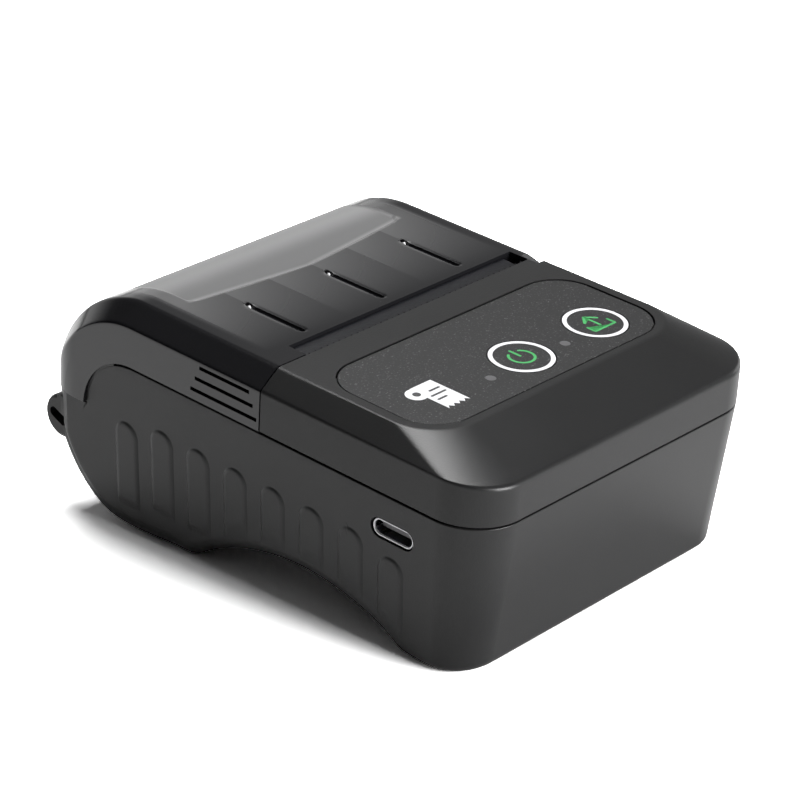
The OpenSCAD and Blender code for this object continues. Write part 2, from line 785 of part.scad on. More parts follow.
module head_pivot() {
    x0 = plate_l_x;
    color(steel) in_case() rod_x([sink_y + sink_t / 2, pivot_z], pivot_r, x0, plate_r_x + plate_t - x0);
}

// Point on a spring's wire: turn angle t about the spring's axis, side angle s about the wire
function coil_point(t, s, turns, length, r, wire) =
    [(r + wire * cos(s)) * cos(t), (r + wire * cos(s)) * sin(t),
     wire + t / 360 / turns * (length - 2 * wire) + wire * sin(s)];

// Compression spring wound along Z from the origin
module spring(length, r, wire, turns) {
    sides = 6;
    rings = 12 * turns;
    points = [for (i = [0:rings], k = [0:sides - 1])
        coil_point(i * 30, k * 360 / sides, turns, length, r, wire)];
    faces = concat(
        [[for (k = [sides - 1:-1:0]) k]],
        [for (i = [0:rings - 1], k = [0:sides - 1], upper = [0, 1])
            let (a = i * sides + k, b = i * sides + (k + 1) % sides)
            upper == 0 ? [a, b, a + sides] : [a + sides, b, b + sides]],
        [[for (k = [0:sides - 1]) rings * sides + k]]);
    polyhedron(points, faces);
}

module head_springs() {
    color(steel) in_case() for (x = spring_at)
        translate([x, sink_y, spring_z]) rotate([90, 0, 0]) spring(sink_y - spring_seat - 0.3, 1.7, 0.25, 5);
}

module tear_bar() {
    pitch = 1.5;
    x0 = bay_x0 + 0.7;
    count = floor((bay_w - 1.4) / pitch);
    color(steel) in_case() translate([x0, cover_y - joint + 0.5, 0]) rotate([90, 0, 0]) linear_extrude(0.5)
        polygon(concat([[count * pitch, platen_z + 4], [0, platen_z + 4], [0, top_h - 0.9]],
            [for (i = [0:count - 1], k = [0, 1]) [(i + 0.5 + k / 2) * pitch, top_h - (k == 0 ? 0.1 : 0.9)]]));
}

module feed_motor() {
    x0 = plate_l_x + plate_t;
    color("#9aa0a6") in_case() {
        rod_x(motor_at, motor_r, x0, motor_l);
        rod_x(motor_at, 1.5, x0 + motor_l - eps, 1);
    }
}

module motor_shaft() {
    color(steel) in_case() rod_x(motor_at, motor_shaft_r, gear_out_x - 0.2,
                                           plate_l_x + plate_t - gear_out_x - 0.1);
}

module motor_pinion() {
    color("#c9a24a") in_case() difference() {
        translate([0, motor_at[0], motor_at[1]]) along_x(gear_out_x, gear_t) gear(pinion_n, pinion_phase);
        rod_x(motor_at, motor_shaft_r, -big / 2, big);
    }
}

module reduction_gear() {
    color(white) in_case() difference() {
        translate([0, reduction_at[0], reduction_at[1]]) {
            along_x(gear_out_x, gear_t) gear(wheel_n, 0);
            along_x(gear_out_x + gear_t - eps, gear_in_x - gear_out_x + eps) gear(small_n, small_phase);
        }
        rod_x(reduction_at, axle_r + run_fit, -big / 2, big);
    }
}

module idler_gear() {
    color(white) in_case() difference() {
        translate([0, idler_at[0], idler_at[1]]) along_x(gear_in_x, gear_t) gear(idler_n, idler_phase);
        rod_x(idler_at, axle_r + run_fit, -big / 2, big);
    }
}

module gear_axles() {
    end = plate_l_x + plate_t;
    color(steel) in_case() {
        rod_x(reduction_at, axle_r, gear_out_x - 0.2, end - gear_out_x + 0.2);
        rod_x(idler_at, axle_r, gear_in_x, end - gear_in_x);
    }
}

module paper_sensor() {
    color("#222") in_case()
        translate([paper_off + 3, head_y + 0.8, frame_floor]) block([0, 0, 1.5], [4, 3, 6.2]);
}

module main_board() {
    color("#1d5a3a") in_case() difference() {
        block([board_x0, board_y0, board_z], [board_x1, board_y1, board_top]);
        for (p = board_screw_at) translate([p[0], p[1], board_z - 1]) cylinder(r = 1.1, h = 5);
    }
}

module controller_chips() {
    y = board_y0 + 5.2;
    color("#17181a") in_case() {
        block([-8, board_y0 + 2.2, board_top], [2, board_y1 - 4.8, board_top + 1.2]);
        block([5.5, y, board_top], [11.5, y + 5, board_top + 1]);
        block([-22, y - 2, board_top], [-16, y + 3, board_top + 1]);
    }
}

module wireless_module() {
    x = board_x1 - 16.7;
    y0 = board_y0 + 0.7;
    y1 = board_y1 - 4.4;
    color("#c3c6ca") in_case() {
        block([x, y0, board_top], [x + 11, y1, board_top + 0.8]);
        block([x + 1, y0 + 3, board_top + 0.8 - eps], [x + 10, y1 - 0.7, board_top + 2.6]);
    }
}

module board_connectors() {
    color(white) in_case() for (c = [[-24, 8, 4], [-12, 12, 2.2], [5, 14, 2.2]])
        block([c[0], board_y1 - 3.2, board_top], [c[0] + c[1], board_y1 - 0.3, board_top + c[2]]);
}

module usb_shell() {
    color("#c9ccd0") in_case() translate([0, usb_y, -usb_drop]) difference() {
        along_x(usb_mouth, 7.3) stadium(usb_w, usb_h);
        along_x(usb_mouth - 1, 7.5) stadium(usb_w - 0.6, usb_h - 0.6);
    }
}

module usb_tongue() {
    color("#111") in_case() translate([0, usb_y, -usb_drop])
        block([usb_mouth + 0.9, -3.35, -0.35], [usb_mouth + 6.5, 3.35, 0.35]);
}

module key_board() {
    x0 = key_post_at[0][0] - 1.8;
    x1 = key_post_at[1][0] + 1.8;
    color("#1d5a3a") in_case() difference() {
        block([x0, key_y - 5, key_board_z], [x1, key_y + 3.6, key_board_z + key_board_t]);
        for (p = key_post_at) translate([p[0], p[1], -1]) cylinder(r = 1.1, h = 5);
    }
}

module switch_bodies() {
    z = key_board_z + key_board_t;
    color("#1a1a1c") in_case() for (i = [0, 1]) translate([power_x + i * key_pitch, key_y, z]) difference() {
        block([-3, -3, 0], [3, 3, switch_h]);
        translate([0, 0, switch_h - 1.6]) cylinder(r = 1.75 + run_fit, h = 5);
    }
}

// Plunger of a switch, under a key's stem
module plunger(i) {
    z = key_board_z + key_board_t + switch_h;
    in_case() translate([power_x + i * key_pitch, key_y, z - 1]) cylinder(r = 1.75, h = 1.8);
}

module power_plunger() {
    color("#c8452f") plunger(0);
}

module feed_plunger() {
    color("#c8452f") plunger(1);
}

module indicator_lamps() {
    z = key_board_z + key_board_t;
    color(white) in_case() for (x = lamp_x)
        translate([x, lamp_y, z]) block([-0.8, -0.6, 0], [0.8, 0.6, 1.1]);
}

module battery_pack() {
    color("#2c5fa8") in_case()
        block([battery_x - battery_w / 2, battery_y0, battery_z()],
              [battery_x + battery_w / 2, battery_y1, board_z - pad_t]);
}

module battery_pads() {
    color("#4a4a4a") in_case() for (x = [-20, 8])
        block([x, board_y0 + 6, board_z - pad_t], [x + 10, board_y1 - 4, board_z - 0.1]);
}

module case_screws() {
    color(steel) in_case() for (p = case_screw_at) translate([p[0], p[1], -14])
        screw(1.9, 1.4, case_shank_r, 19);
}

module frame_screws() {
    color(steel) in_case() for (p = frame_screw_at)
        translate([p[0], p[1], frame_floor + 1.5]) mirror([0, 0, 1]) screw(1.9, 1.3, case_shank_r, 6);
}

module board_screws() {
    color(steel) in_case() {
        for (p = board_screw_at) translate([p[0], p[1], board_top]) mirror([0, 0, 1])
            screw(1.7, 1.2, board_shank_r, 6);
        for (p = key_post_at) translate([p[0], p[1], key_board_z]) screw(1.7, 1.2, board_shank_r, 5);
    }
}

module rubber_feet() {
    color("#303236") for (p = feet_at) translate([p[0], p[1] + y_shift, 0]) cylinder(r = foot_r, h = foot_t);
}

lower_case();
top_case();
control_panel();
power_key();
feed_key();
light_pipes();
paper_cover();
hinge_pin();
platen_rubber();
platen_shaft();
platen_gear();
platen_bushes();
print_frame();
heat_sink();
thermal_head();
head_pivot();
head_springs();
tear_bar();
feed_motor();
motor_shaft();
motor_pinion();
reduction_gear();
idler_gear();
gear_axles();
paper_sensor();
main_board();
controller_chips();
wireless_module();
board_connectors();
usb_shell();
usb_tongue();
key_board();
switch_bodies();
power_plunger();
feed_plunger();
indicator_lamps();
battery_pack();
battery_pads();
case_screws();
frame_screws();
board_screws();
rubber_feet();
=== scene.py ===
"""Portable receipt printer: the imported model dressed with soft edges, finishes, signs and studio light.

Shapes are worked out in the case frame (millimetres, X across, Y to the back, Z square to the parting
plane) and carried to the table frame (metres) by the CaseFrame class alone. The sizes in finishes and in
the studio are metres.
"""
from __future__ import annotations

import logging
import math
import sys
from contextlib import contextmanager
from dataclasses import dataclass
from enum import Enum
from typing import Any, Callable, Iterator

import bmesh
import bpy
import numpy as np
from mathutils import Matrix, Vector

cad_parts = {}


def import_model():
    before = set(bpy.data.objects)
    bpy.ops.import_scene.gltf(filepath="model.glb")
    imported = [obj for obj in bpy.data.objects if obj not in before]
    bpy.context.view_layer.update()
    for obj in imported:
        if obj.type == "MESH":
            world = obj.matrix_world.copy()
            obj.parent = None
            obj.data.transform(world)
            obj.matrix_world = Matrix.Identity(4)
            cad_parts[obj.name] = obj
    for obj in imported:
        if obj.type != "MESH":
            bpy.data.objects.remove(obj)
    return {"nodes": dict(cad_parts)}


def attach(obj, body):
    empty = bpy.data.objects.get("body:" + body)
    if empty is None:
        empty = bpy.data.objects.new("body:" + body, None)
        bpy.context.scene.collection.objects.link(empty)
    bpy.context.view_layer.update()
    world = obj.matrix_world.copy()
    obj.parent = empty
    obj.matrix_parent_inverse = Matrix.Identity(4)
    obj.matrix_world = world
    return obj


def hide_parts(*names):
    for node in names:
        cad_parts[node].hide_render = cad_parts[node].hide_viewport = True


logging.basicConfig(level=logging.INFO, format="%(message)s", stream=sys.stdout)
log = logging.getLogger("printer")

Array = np.ndarray
Field = Callable[[Array], Array]
Object = bpy.types.Object
Socket = bpy.types.NodeSocket
Pair = tuple[float, float]
Triple = tuple[float, float, float]
Stops = tuple[Pair, ...]

QUARTER = math.pi / 2


# Frame and small mathematics

@dataclass(frozen=True)
class CaseFrame:
    """The case frame's place over the table."""

    rake: float = math.radians(4.05)
    shift_y: float = -1.2765
    seam_h: float = 32.5

    def to_table(self, points: Array) -> Array:
        """Turns case points in millimetres into table points in metres.

        Args:
            points: an array of (..., 3) case points.
        Returns:
            The points turned by the rake about X, raised and scaled to metres.
        """
        c, s = math.cos(self.rake), math.sin(self.rake)
        x, y, z = np.moveaxis(np.asarray(points, float), -1, 0)
        return np.stack([x, y * c - z * s + self.shift_y, y * s + z * c + self.seam_h], -1) * 0.001

    def from_table(self, points: Array) -> Array:
        """Turns table points in metres back into case points in millimetres."""
        c, s = math.cos(self.rake), math.sin(self.rake)
        x, y, z = np.moveaxis(np.asarray(points, float) * 1000.0, -1, 0)
        y, z = y - self.shift_y, z - self.seam_h
        return np.stack([x, y * c + z * s, -y * s + z * c], -1)

    def level(self, y: Array, height: float) -> Array:
        """Case Z of a table height in millimetres, above the case position y."""
        return (height - self.seam_h - y * math.sin(self.rake)) / math.cos(self.rake)


CASE = CaseFrame()


def smooth_max(a: Array, b: Array, k: float) -> Array:
    """Larger of two values, with a parabola of width k where they meet."""
    h = np.maximum(k - np.abs(a - b), 0.0)
    return np.maximum(a, b) + h * h / (4.0 * k)


def smooth_step(t: Array) -> Array:
    """Cubic ease from 0 to 1."""
    t = np.clip(t, 0.0, 1.0)
    return t * t * (3.0 - 2.0 * t)


def lerp(a: Array, b: Array, t: Array) -> Array:
    """Straight blend from a to b."""
    return a + (b - a) * t


def unit(v: Array) -> Array:
    """Vectors brought to length 1."""
    return v / np.linalg.norm(v, axis=-1, keepdims=True)


def polar(a: Array) -> Array:
    """Points of the unit circle at angles in radians."""
    return np.stack([np.cos(a), np.sin(a)], -1)


def circle(count: int) -> Array:
    """Evenly spaced points of the unit circle."""
    return polar(np.linspace(0, 2 * math.pi, count + 1)[:-1])


def round_corner(qx: Array, qy: Array, r: Array) -> Array:
    """Signed distance to an outline with a corner of radius r, from distances past the corner's centre."""
    return np.hypot(np.maximum(qx, 0), np.maximum(qy, 0)) + np.minimum(np.maximum(qx, qy), 0) - r


# Meshes

def add_object(name: str, data: bpy.types.ID) -> Object:
    """Makes an object of a mesh, lamp or camera and links it to the scene."""
    obj = bpy.data.objects.new(name, data)
    bpy.context.scene.collection.objects.link(obj)
    return obj


@contextmanager
def edited(mesh: bpy.types.Mesh) -> Iterator[bmesh.types.BMesh]:
    """Opens a mesh for editing and writes it back at the end."""
    bm = bmesh.new()
    bm.from_mesh(mesh)
    yield bm
    bm.to_mesh(mesh)
    bm.free()


def clean(bm: bmesh.types.BMesh, weld: float, thin: float) -> None:
    """Merges points nearer than weld and removes edges shorter than thin, both in metres."""
    bmesh.ops.remove_doubles(bm, verts=bm.verts, dist=weld)
    bmesh.ops.dissolve_degenerate(bm, edges=bm.edges, dist=thin)


def new_object(name: str, verts: Array, faces: list[list[int]]) -> Object:
    """Makes a closed, outward facing object from case points and faces.

    Args:
        name: name of the object and its mesh.
        verts: (N, 3) case points in millimetres.
        faces: lists of point numbers.
    Returns:
        The new object, linked to the scene.
    """
    mesh = bpy.data.meshes.new(name)
    mesh.from_pydata(CASE.to_table(verts).tolist(), [], faces)
    with edited(mesh) as bm:
        clean(bm, weld=2e-7, thin=1e-8)
        bmesh.ops.recalc_face_normals(bm, faces=bm.faces)
    return add_object(name, mesh)


def grid_quads(rows: int, cols: int, wrap: bool = False, ring: bool = False) -> Array:
    """Quads of a grid of points numbered row by row.

    Args:
        rows: number of rows of points.
        cols: number of points in a row.
        wrap: whether each row closes on itself.
        ring: whether the last row meets the first.
    Returns:
        An (N, 4) array of point numbers.
    """
    i = np.arange(rows if ring else rows - 1)[:, None]
    j = np.arange(cols if wrap else cols - 1)[None, :]
    ahead, right = (i + 1) % rows, (j + 1) % cols
    quad = [i * cols + j, i * cols + right, ahead * cols + right, ahead * cols + j]
    return np.stack(quad, -1).reshape(-1, 4)


def tube(name: str, loops: Array, ring: bool = False) -> Object:
    """Joins a row of closed loops of points into a closed object.

    Args:
        name: name of the object.
        loops: (loops, points, 3) case points.
        ring: whether the last loop meets the first; otherwise a face closes each end.
    Returns:
        The closed object.
    """
    n, m = loops.shape[:2]
    faces = grid_quads(n, m, wrap=True, ring=ring).tolist()
    if not ring:
        faces += [list(range(m)), list(range((n - 1) * m, n * m))]
    return new_object(name, loops.reshape(-1, 3), faces)


def along_x(x: Array, section: Array) -> Array:
    """Loops at each x, from one section of Y and Z points or from one for each x."""
    loops = np.broadcast_to(section, (len(x), *section.shape[-2:]))
    return np.concatenate([np.broadcast_to(x[:, None, None], (*loops.shape[:2], 1)), loops], -1)


def at_levels(plan: Array, z: Array) -> Array:
    """Loops of X and Y points, each lifted to its height."""
    return np.concatenate([plan, np.broadcast_to(z[:, None, None], (*plan.shape[:2], 1))], -1)


def mirrored_shell(name: str, half: Array, caps: tuple[int, ...] = (0,)) -> Object:
    """Closes a half shell with its mirror image.

    Args:
        name: name of the object.
        half: (columns, rows, 3) case points of the half with X above 0; each column runs from the centre
            plane over the side and back to the centre plane.
        caps: the columns that are closed by a flat face.
    Returns:
        The closed object.
    """
    cols, rows, _ = half.shape
    half[:, :, 0] = np.maximum(half[:, :, 0], 0.0)
    other = half * np.array([-1.0, 1.0, 1.0])
    verts = np.concatenate([half.reshape(-1, 3), other.reshape(-1, 3)])
    quads = grid_quads(cols, rows)
    faces = quads.tolist() + (quads[:, ::-1] + cols * rows).tolist()
    for column in caps:
        out = np.arange(rows) + column * rows
        faces.append(out.tolist() + (out[::-1] + cols * rows).tolist())
    return new_object(name, verts, faces)


def merged_copy(node: str, name: str) -> Object:
    """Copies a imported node's mesh and joins its loose triangles."""
    obj = add_object(name, frame["nodes"][node].data.copy())
    with edited(obj.data) as bm:
        clean(bm, weld=2e-6, thin=1e-7)
    return obj


def push_out(obj: Object, skin: Field, keep: Field | None = None) -> None:
    """Moves the points on a body's outer skin outwards, along the gradient of its distance field.

    Args:
        obj: the object to change.
        skin: signed distance to the outer skin in millimetres, negative inside, for (N, 3) case points.
        keep: a field that is below 0 at points that stay.
    """
    reach, probe, push = 0.08, 0.04, 0.3
    mesh = obj.data
    flat = np.empty(len(mesh.vertices) * 3)
    mesh.vertices.foreach_get("co", flat)
    p = CASE.from_table(flat.reshape(-1, 3))
    near = skin(p) > -reach
    if keep is not None:
        near &= keep(p) > 0.0
    q = p[near]
    slope = np.stack([skin(q + step) - skin(q - step) for step in np.eye(3) * probe], -1)
    slope /= np.maximum(np.linalg.norm(slope, axis=1, keepdims=True), 1e-9)
    p[near] = q + slope * push
    mesh.vertices.foreach_set("co", CASE.to_table(p).ravel())
    mesh.update()


def combine(obj: Object, other: Object, operation: str) -> None:
    """Applies a Boolean with another closed object and removes that object."""
    mod = obj.modifiers.new("combine", "BOOLEAN")
    mod.operation = operation
    mod.object = other
    for solver in ("MANIFOLD", "EXACT"):
        mod.solver = solver
        seen = obj.evaluated_get(bpy.context.evaluated_depsgraph_get())
        mesh = bpy.data.meshes.new_from_object(seen)
        if mesh.polygons:
            break
        log.info("%s: nothing left by the %s solver", obj.name, solver)
    obj.modifiers.clear()
    old, obj.data = obj.data, mesh
    mesh.name = obj.name
    bpy.data.meshes.remove(old)
    bpy.data.objects.remove(other, do_unlink=True)


def shade(obj: Object, angle: float) -> None:
    """Shades a piece smooth up to an angle in degrees, with its normals weighted by face area."""
    with edited(obj.data) as bm:
        for face in bm.faces:
            face.smooth = True
        for edge in bm.edges:
            joins = len(edge.link_faces) == 2
            edge.smooth = joins and edge.calc_face_angle() < math.radians(angle)
    mod = obj.modifiers.new("weighted_normals", "WEIGHTED_NORMAL")
    mod.mode = "FACE_AREA"
    mod.weight = 60
    mod.keep_sharp = True


def dress(obj: Object, body: str, slot: str, finish: Finish, *stands_for: str, smooth: float = 0.0) -> None:
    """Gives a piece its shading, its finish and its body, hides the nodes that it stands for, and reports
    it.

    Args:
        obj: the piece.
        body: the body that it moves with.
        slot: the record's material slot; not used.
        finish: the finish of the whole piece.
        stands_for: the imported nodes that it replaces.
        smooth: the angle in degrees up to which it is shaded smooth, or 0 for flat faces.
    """
    if smooth:
        shade(obj, smooth)
    obj.data.materials.clear()
    obj.data.materials.append(finish.material())
    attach(obj, body)
    if stands_for:
        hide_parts(*stands_for)
    log.info("%s: %d faces, on %s", obj.name, len(obj.data.polygons), body)


# Shader nodes

class NodeTree:
    """Adds nodes to a node tree, with a value or a link for each input that is named."""

    def __init__(self, tree: bpy.types.NodeTree) -> None:
        """Takes the tree that the nodes go into."""
        self.nodes = tree.nodes
        self.links = tree.links

    def feed(self, node: bpy.types.Node, inputs: dict[Any, Any]) -> None:
        """Sets the inputs of a node, by name or number, to values or to the sockets that feed them."""
        for key, value in inputs.items():
            if isinstance(value, Socket):
                self.links.new(value, node.inputs[key])
            else:
                node.inputs[key].default_value = value

    def add(self, kind: str, inputs: dict[Any, Any] | None = None, **settings: Any) -> bpy.types.Node:
        """Adds a node.

        Args:
            kind: the node's type, which may be given without its leading ShaderNode.
            inputs: a value or a socket for each input that isn't left alone.
            settings: the node's own properties.
        Returns:
            The node.
        """
        node = self.nodes.new(kind if kind.startswith("Node") else "ShaderNode" + kind)
        for name, value in settings.items():
            setattr(node, name, value)
        self.feed(node, inputs or {})
        return node

    def calc(self, operation: str, *values: float | Socket, **settings: Any) -> Socket:
        """One step of arithmetic on sockets or numbers."""
        return self.add("Math", dict(enumerate(values)), operation=operation, **settings).outputs[0]

    def fold(self, operation: str, first: float | Socket, *others: float | Socket) -> Socket:
        """One kind of arithmetic over several sockets or numbers."""
        for other in others:
            first = self.calc(operation, first, other)
        return first

    def ease(self, value: Socket, start: float, end: float) -> Socket:
        """Eased 0 to 1 as a value goes from start to end, upwards or downwards."""
        rising = end > start
        limits = {"From Min": min(start, end), "From Max": max(start, end),
                  "To Min": float(not rising), "To Max": float(rising)}
        node = self.add("MapRange", {"Value": value, **limits}, interpolation_type="SMOOTHSTEP")
        return node.outputs["Result"]

    def mix(self, factor: Socket, a: Any, b: Any, blend_type: str = "MIX") -> Socket:
        """Blends two colours."""
        inputs = {"Factor": factor, "A": a, "B": b}
        return self.add("Mix", inputs, data_type="RGBA", blend_type=blend_type).outputs["Result"]

    def ramp(self, factor: Socket, stops: Stops) -> Socket:
        """A ramp of greys, from pairs of position and tone."""
        node = self.add("ValToRGB", {"Fac": factor})
        marks = node.color_ramp.elements
        while len(marks) < len(stops):
            marks.new(0.5)
        for mark, (at, tone) in zip(marks, stops):
            mark.position = at
            mark.color = grey(tone)
        return node.outputs["Color"]


def grey(tone: float) -> tuple[float, float, float, float]:
    """An opaque grey."""
    return (tone, tone, tone, 1.0)


# Finishes

class Grain(Enum):
    """Kinds of moulded or printed surface texture, as scale per metre and detail."""

    NONE = (1.0, 0.0)
    FINE = (3200.0, 2.0)
    SPARKLE = (2800.0, 2.0)
    COARSE = (1500.0, 4.0)


def grain_group() -> bpy.types.NodeTree:
    """Builds once the group that turns object coordinates into a grain.

    Its inputs are Scale and Detail. Height is noise; Fleck is 1 where the noise is high; Drift is a broad,
    weak change across the piece.

    Returns:
        The shader node group.
    """
    fleck_range, drift_scale = (0.6, 0.74), 60.0
    found = bpy.data.node_groups.get("grain")
    if found:
        return found
    group = bpy.data.node_groups.new("grain", "ShaderNodeTree")
    for way, names in (("INPUT", ("Scale", "Detail")), ("OUTPUT", ("Height", "Fleck", "Drift"))):
        for name in names:
            group.interface.new_socket(name=name, in_out=way, socket_type="NodeSocketFloat")
    tree = NodeTree(group)
    asked = tree.add("NodeGroupInput").outputs
    place = tree.add("TexCoord").outputs["Object"]
    fine = {"Vector": place, "Scale": asked["Scale"], "Detail": asked["Detail"]}
    height = tree.add("TexNoise", fine).outputs["Fac"]
    drift = tree.add("TexNoise", {"Vector": place, "Scale": drift_scale}).outputs["Fac"]
    limits = {"From Min": fleck_range[0], "From Max": fleck_range[1]}
    fleck = tree.add("MapRange", {"Value": height, **limits}).outputs["Result"]
    tree.add("NodeGroupOutput", {"Height": height, "Fleck": fleck, "Drift": drift})
    return group


@dataclass(frozen=True)
class Finish:
    """A surface finish; each distinct one becomes one material."""

    name: str
    color: Triple
    rough: float = 0.5
    metal: float = 0.0
    specular: float = 0.5
    coat: float = 0.0
    coat_rough: float = 0.1
    grain: Grain = Grain.NONE
    depth: float = 0.0
    drift: float = 0.0
    fleck: Triple | None = None

    def material(self) -> bpy.types.Material:
        """Builds the material, or returns the one that was built before."""
        found = bpy.data.materials.get(self.name)
        if found:
            return found
        mat = bpy.data.materials.new(self.name)
        mat.use_nodes = True
        self.fill(NodeTree(mat.node_tree), mat.node_tree.nodes["Principled BSDF"])
        return mat

    def fill(self, tree: NodeTree, bsdf: bpy.types.Node) -> None:
        """Sets up the shader; the grain feeds its bump, its colour and its roughness.

        Args:
            tree: the material's nodes.
            bsdf: its Principled shader.
        """
        tree.feed(bsdf, {"Base Color": (*self.color, 1.0), "Roughness": self.rough, "Metallic": self.metal,
                         "Specular IOR Level": self.specular, "Coat Weight": self.coat,
                         "Coat Roughness": self.coat_rough})
        if self.grain is Grain.NONE:
            return
        scale, detail = self.grain.value
        grain = tree.add("Group", {"Scale": scale, "Detail": detail}, node_tree=grain_group()).outputs
        if self.depth:
            bump = tree.add("Bump", {"Distance": self.depth, "Strength": 1.0, "Height": grain["Height"]})
            tree.feed(bsdf, {"Normal": bump.outputs["Normal"]})
        if self.fleck:
            tree.feed(bsdf, {"Base Color": tree.mix(grain["Fleck"], (*self.color, 1.0), (*self.fleck, 1.0))})
        if self.drift:
            limits = {"To Min": self.rough - self.drift, "To Max": self.rough + self.drift}
            drift = tree.add("MapRange", {"Value": grain["Drift"], **limits})
            tree.feed(bsdf, {"Roughness": drift.outputs["Result"]})


@dataclass(frozen=True)
class SmokyFinish(Finish):
    """The lid's smoky plastic, through which the paper roll shows faintly, with painted light in its colour.

    Tones are added to the colour: the roll seen through the window, with painted light that makes it
    lighter towards the back, painted highlights along the window's front edge and beside each groove, and
    painted reflection stripes that grow lighter towards the back. Pairs are the object coordinates between
    which a mask goes from 0 to 1; those of the window's front edge and of its highlight follow the edge's
    bow.
    """

    # The paper roll's tone in the window; its rise towards the back is painted light falling on the roll.
    roll_tone: float = 0.1
    roll_light_rise: float = 1.35
    roll_haze: float = 0.33
    roll_light_back: Pair = (0.0255, 0.0325)
    window_side: Pair = (0.0279, 0.0267)
    window_front: Pair = (0.0194, 0.0209)
    window_low: Pair = (0.0335, 0.0345)
    window_bow: float = 0.115
    # Painted highlight along the window's front edge.
    crease_highlight_tone: float = 0.1
    crease_highlight_in: Pair = (0.0192, 0.0199)
    crease_highlight_out: Pair = (0.0213, 0.0203)
    # Painted reflection: light stripes across the flat lid, one ramp per pitch, growing towards the back.
    stripe_sheen_tone: float = 0.042
    rib_pitch: float = 0.01005
    sheen_tone: float = 0.058
    sheen_from: float = 0.0005
    sheen_run: float = 0.0235
    sheen_side: Pair = (0.0315, 0.0295)
    # Painted highlight along the left side of each groove.
    groove_highlight_tone: float = 0.03
    groove_highlight_masks: tuple[Pair, Pair] = ((-0.0019, -0.0011), (-0.0006, -0.0009))
    groove_highlight_ends: tuple[Pair, Pair] = ((0.0035, 0.006), (0.0165, 0.0145))

    def fill(self, tree: NodeTree, bsdf: bpy.types.Node) -> None:
        """Sets up the shader: painted light makes the base colour lighter over the roll and in stripes.

        The tone is the colour, plus the window's share, where the roll shows through, lighter towards the
        back as painted light on the roll, plus a painted highlight along the window's front edge, plus
        painted
        reflection stripes: a ramp that falls from one stripe line to the next and grows towards the back,
        plus a painted highlight along the left side of each groove.

        Args:
            tree: the material's nodes.
            bsdf: its Principled shader.
        """
        super().fill(tree, bsdf)
        place = tree.add("TexCoord").outputs["Object"]
        x, y, z = tree.add("SeparateXYZ", {0: place}).outputs
        across = tree.calc("ABSOLUTE", x)
        bowed = tree.calc("SUBTRACT", y, tree.calc("MULTIPLY", across, self.window_bow))
        inside = tree.ease(across, *self.window_side)
        roll = tree.fold("MULTIPLY", inside, tree.ease(bowed, *self.window_front),
                         tree.ease(z, *self.window_low))
        # Painted light: the roll grows lighter towards the back.
        over = tree.calc("MULTIPLY_ADD", tree.ease(y, *self.roll_light_back), self.roll_light_rise, 1.0)
        # Painted highlight along the window's front edge.
        crease_highlight = tree.fold("MULTIPLY", inside, tree.ease(bowed, *self.crease_highlight_in),
                           tree.ease(bowed, *self.crease_highlight_out))
        # Painted reflection stripes, lighter towards the back of the flat lid.
        ramp = tree.calc("SUBTRACT", 1.0, tree.calc("FRACT", tree.calc("DIVIDE", x, self.rib_pitch)))
        ribs = tree.calc("MULTIPLY_ADD", ramp, self.stripe_sheen_tone, self.sheen_tone)
        back = tree.calc("DIVIDE", tree.calc("SUBTRACT", y, self.sheen_from), self.sheen_run, use_clamp=True)
        rise = tree.fold("MULTIPLY", back, tree.ease(across, *self.sheen_side),
                         tree.calc("SUBTRACT", 1.0, roll))
        # Painted highlight along the left side of each groove.
        off = tree.calc("WRAP", x, self.rib_pitch, -self.rib_pitch)
        groove_highlight = tree.fold("MULTIPLY", *(tree.ease(off, *mask) for mask in self.groove_highlight_masks),
                         *(tree.ease(y, *end) for end in self.groove_highlight_ends))
        tone = tree.fold("ADD", tree.fold("MULTIPLY", roll, over, self.roll_tone),
                         tree.calc("MULTIPLY", rise, ribs), tree.calc("MULTIPLY", crease_highlight, self.crease_highlight_tone),
                         tree.calc("MULTIPLY", groove_highlight, self.groove_highlight_tone))
        channels = zip(("Red", "Green", "Blue"), self.color)
        tint = tree.add("CombineColor", {name: tree.calc("ADD", tone, base) for name, base in channels})
        haze = tree.calc("MULTIPLY_ADD", roll, self.roll_haze, self.rough)
        tree.feed(bsdf, {"Base Color": tint.outputs["Color"], "Roughness": haze})


SHELL = Finish("shell_black", (0.01, 0.01, 0.0103), 0.36, specular=0.3, grain=Grain.FINE, depth=1.6e-5,
               drift=0.03)
LID = SmokyFinish("lid_smoke", (0.0075, 0.0075, 0.0085), 0.13)
# Darker than the lid: painted shade for the grooves' beds.
GROOVE_SHADE = Finish("painted_shade_groove", (0.003, 0.003, 0.004), 0.25, specular=0.3)
TEAR = Finish("tear_black", (0.026, 0.026, 0.028), 0.6, specular=0.2)
LIP = Finish("lip_smoke", (0.0065, 0.0067, 0.009), 0.34, specular=0.3, grain=Grain.COARSE, depth=4e-5,
             drift=0.06)
FILM = Finish("film_print", (0.008, 0.008, 0.0085), 0.42, specular=0.4, grain=Grain.SPARKLE, depth=1.6e-5,
              fleck=(0.1, 0.1, 0.1))
WHITE_INK = Finish("ink_white", (0.72, 0.72, 0.74))
GREEN_INK = Finish("ink_green", (0.035, 0.34, 0.085))
DARK_INK = Finish("ink_dark", (0.03, 0.03, 0.032))
PIPE = Finish("pipe_frosted", (0.085, 0.085, 0.088), 0.4)
